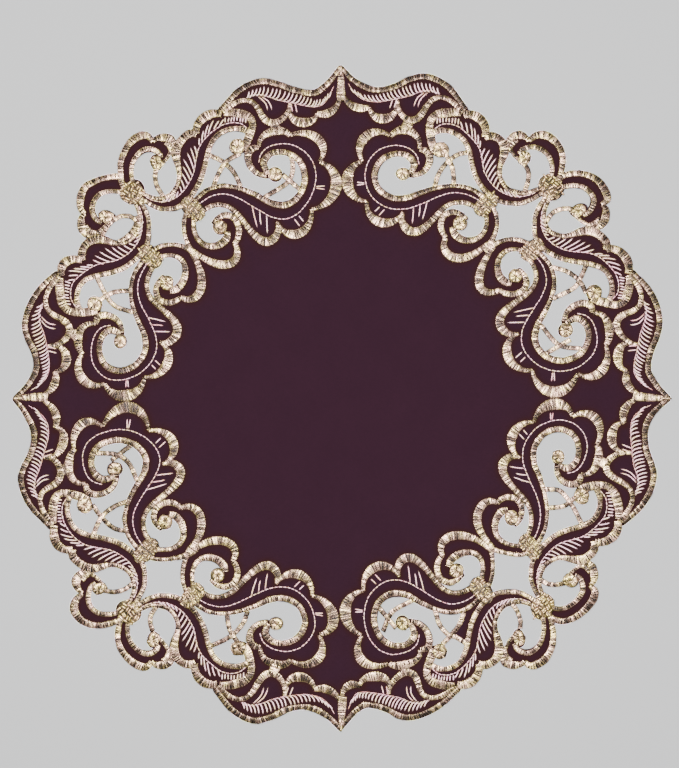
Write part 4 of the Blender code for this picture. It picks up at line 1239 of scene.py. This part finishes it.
def rim(heap, loop, rng, radius=0.2, out=0.2, step=1.5):
    """A fine thread all round a cut edge, just outside the stitching."""
    closed = np.vstack([loop, loop[:1]])
    line = np.column_stack([closed, np.ones(len(closed))])
    along = along_of(line)
    at = np.linspace(0, along[-1], max(8, int(along[-1] / step)))
    place, t, _ = read_at(line, along, at)
    t[0] = t[-1] = (t[0] + t[-1]) / max(1e-9, np.hypot(*(t[0] + t[-1])))
    side = np.stack([-t[:, 1], t[:, 0]], 1)
    knots = max(4, int(along[-1] / 9))
    slow = np.interp(at, np.linspace(0, along[-1], knots), rng.uniform(0, 1, knots))
    centre = place - side * (out + 0.05 * rng.normal(0, 1, len(at)))[:, None]
    centre[-1] = centre[0]
    angle = np.linspace(0, 2 * math.pi, 6)[:-1]
    ring = np.stack([centre[:, None, 0] + side[:, None, 0] * radius * np.cos(angle),
                     centre[:, None, 1] + side[:, None, 1] * radius * np.cos(angle),
                     np.full((len(at), 1), 0.5) + radius * np.sin(angle)[None, :]], axis=2)
    tone = np.repeat(np.clip(0.55 + 0.5 * slow + rng.normal(0, 0.1, len(at)), 0, 1.05)[:, None], 5, 1)
    gap = np.repeat(np.clip(0.5 - 1.2 * slow, 0, 0.5)[:, None], 5, 1)
    run = np.stack([np.repeat(at[:, None], 5, 1), np.repeat(angle[None, :] / 4, len(at), 0)], 2)
    heap.grid(ring[:-1], tone[:-1], gap[:-1], run[:-1], closed_across=True)


def patches(heap, row, copy, rng):
    """Blocks of short threads laid over a knot like basket work, turned this way and that."""
    name, x, y, a, b, lean = row
    turn = math.radians(lean)
    along, up = np.array([math.cos(turn), math.sin(turn)]), np.array([-math.sin(turn), math.cos(turn)])
    cell = 6.2
    reach = int(max(a, b) / cell) + 2
    for i in range(-reach, reach + 1):
        for j in range(-reach, reach + 1):
            angle = (0 if (i + j) % 2 else math.pi / 2) + rng.normal(0, 0.24)
            way = np.array([math.cos(angle), math.sin(angle)])
            tone = rng.uniform(0.65, 1.0)
            for k in (-0.5, 0.5):
                mid = np.array([(i + 0.3) * cell, (j - 0.2) * cell]) + rng.normal(0, 0.4, 2)
                off = np.array([-way[1], way[0]]) * k * 3.1
                share = rng.uniform(2.7, 3.5)
                places = []
                for e in (mid + off - way * share, mid + off + way * share):
                    p = e[0] * along + e[1] * up
                    c, s = math.cos(math.radians(lean)), math.sin(math.radians(lean))
                    places.append((np.array([x, y]) + p, math.hypot((p[0] * c + p[1] * s) / a, (p[1] * c - p[0] * s) / b)))
                if min(places[0][1], places[1][1]) > 0.95 or max(places[0][1], places[1][1]) > 1.32:
                    continue
                spans = [1 if r < 1.12 else 0.5 for _, r in places]
                centre = (places[0][0] + places[1][0]) / 2
                ends = [centre + (p - centre) * s for (p, _), s in zip(places, spans)]
                far = min(1.0, np.hypot(*(centre - (x, y))) / max(a, b))
                height = math.sqrt(max(0.1, 1 - 0.8 * far ** 2))
                thread(heap, placed(np.array([ends[0], (ends[0] + ends[1]) / 2, ends[1]]), copy),
                       CLOTH_TOP + 0.05 + 0.42 * height, 0.6, rng, tone=tone + rng.normal(0, 0.14),
                       ends=(0.55, 0.55), arch=0.2, stations=6)


lines = [drawn_lines(copy) for copy in range(len(COPIES))]
LOOPS = cloth_loops(lines)
sheet, cloth_area = cloth_piece(lines, LOOPS, cloth_material())
stitched = embroidery(lines)

# -------------------------------------------------- floor, lights and camera
floor_mesh = bpy.data.meshes.new("floor")
floor_mesh.from_pydata([(-3, -3, 0), (3, -3, 0), (3, 3, 0), (-3, 3, 0)], [], [(0, 1, 2, 3)])
floor_mesh.materials.append(plain_material("pale_floor", (0.315, 0.32, 0.33), 0.7))
floor = bpy.data.objects.new("floor", floor_mesh)
bpy.context.scene.collection.objects.link(floor)

world = bpy.data.worlds.new("studio")
world.use_nodes = True
world.node_tree.nodes["Background"].inputs[0].default_value = (0.93, 0.95, 1.0, 1.0)
world.node_tree.nodes["Background"].inputs[1].default_value = 0.14
bpy.context.scene.world = world


def area_light(name, place, target, size, power, colour):
    light = bpy.data.lights.new(name, "AREA")
    light.shape = "SQUARE"
    light.size = size
    light.energy = power
    light.color = colour
    lamp = bpy.data.objects.new(name, light)
    bpy.context.scene.collection.objects.link(lamp)
    lamp.location = place
    lamp.rotation_euler = (Vector(target) - Vector(place)).to_track_quat("-Z", "Y").to_euler()
    return lamp


area_light("overhead", (0.0, 0.05, 1.75), (0, 0, 0), 0.5, 92.0, (1.0, 0.985, 0.96))
area_light("key", (-0.9, 1.1, 1.3), (0, 0, 0), 0.5, 18.0, (1.0, 0.98, 0.95))
area_light("fill", (0.9, -0.7, 1.5), (0, 0, 0), 0.8, 8.0, (0.95, 0.97, 1.0))

# straight above, framed as in the photograph: 679 by 768 units of the drawing
camera_data = bpy.data.cameras.new("camera")
camera = bpy.data.objects.new("camera", camera_data)
bpy.context.scene.collection.objects.link(camera)
FRAME_HEIGHT = 768 * MM / 1000
centre = ((339.5 - 0.5 - 341 - MIDDLE[0]) * MM / 1000 + 0.5 * MM / 1000, (398 - 383.5 - MIDDLE[1]) * MM / 1000)
camera.location = (centre[0], centre[1], 1.3)
camera_data.sensor_fit = "VERTICAL"
camera_data.sensor_height = 24.0
camera_data.lens = 24.0 * 1.3 / FRAME_HEIGHT
camera_data.clip_start, camera_data.clip_end = 0.05, 20
bpy.context.scene.camera = camera
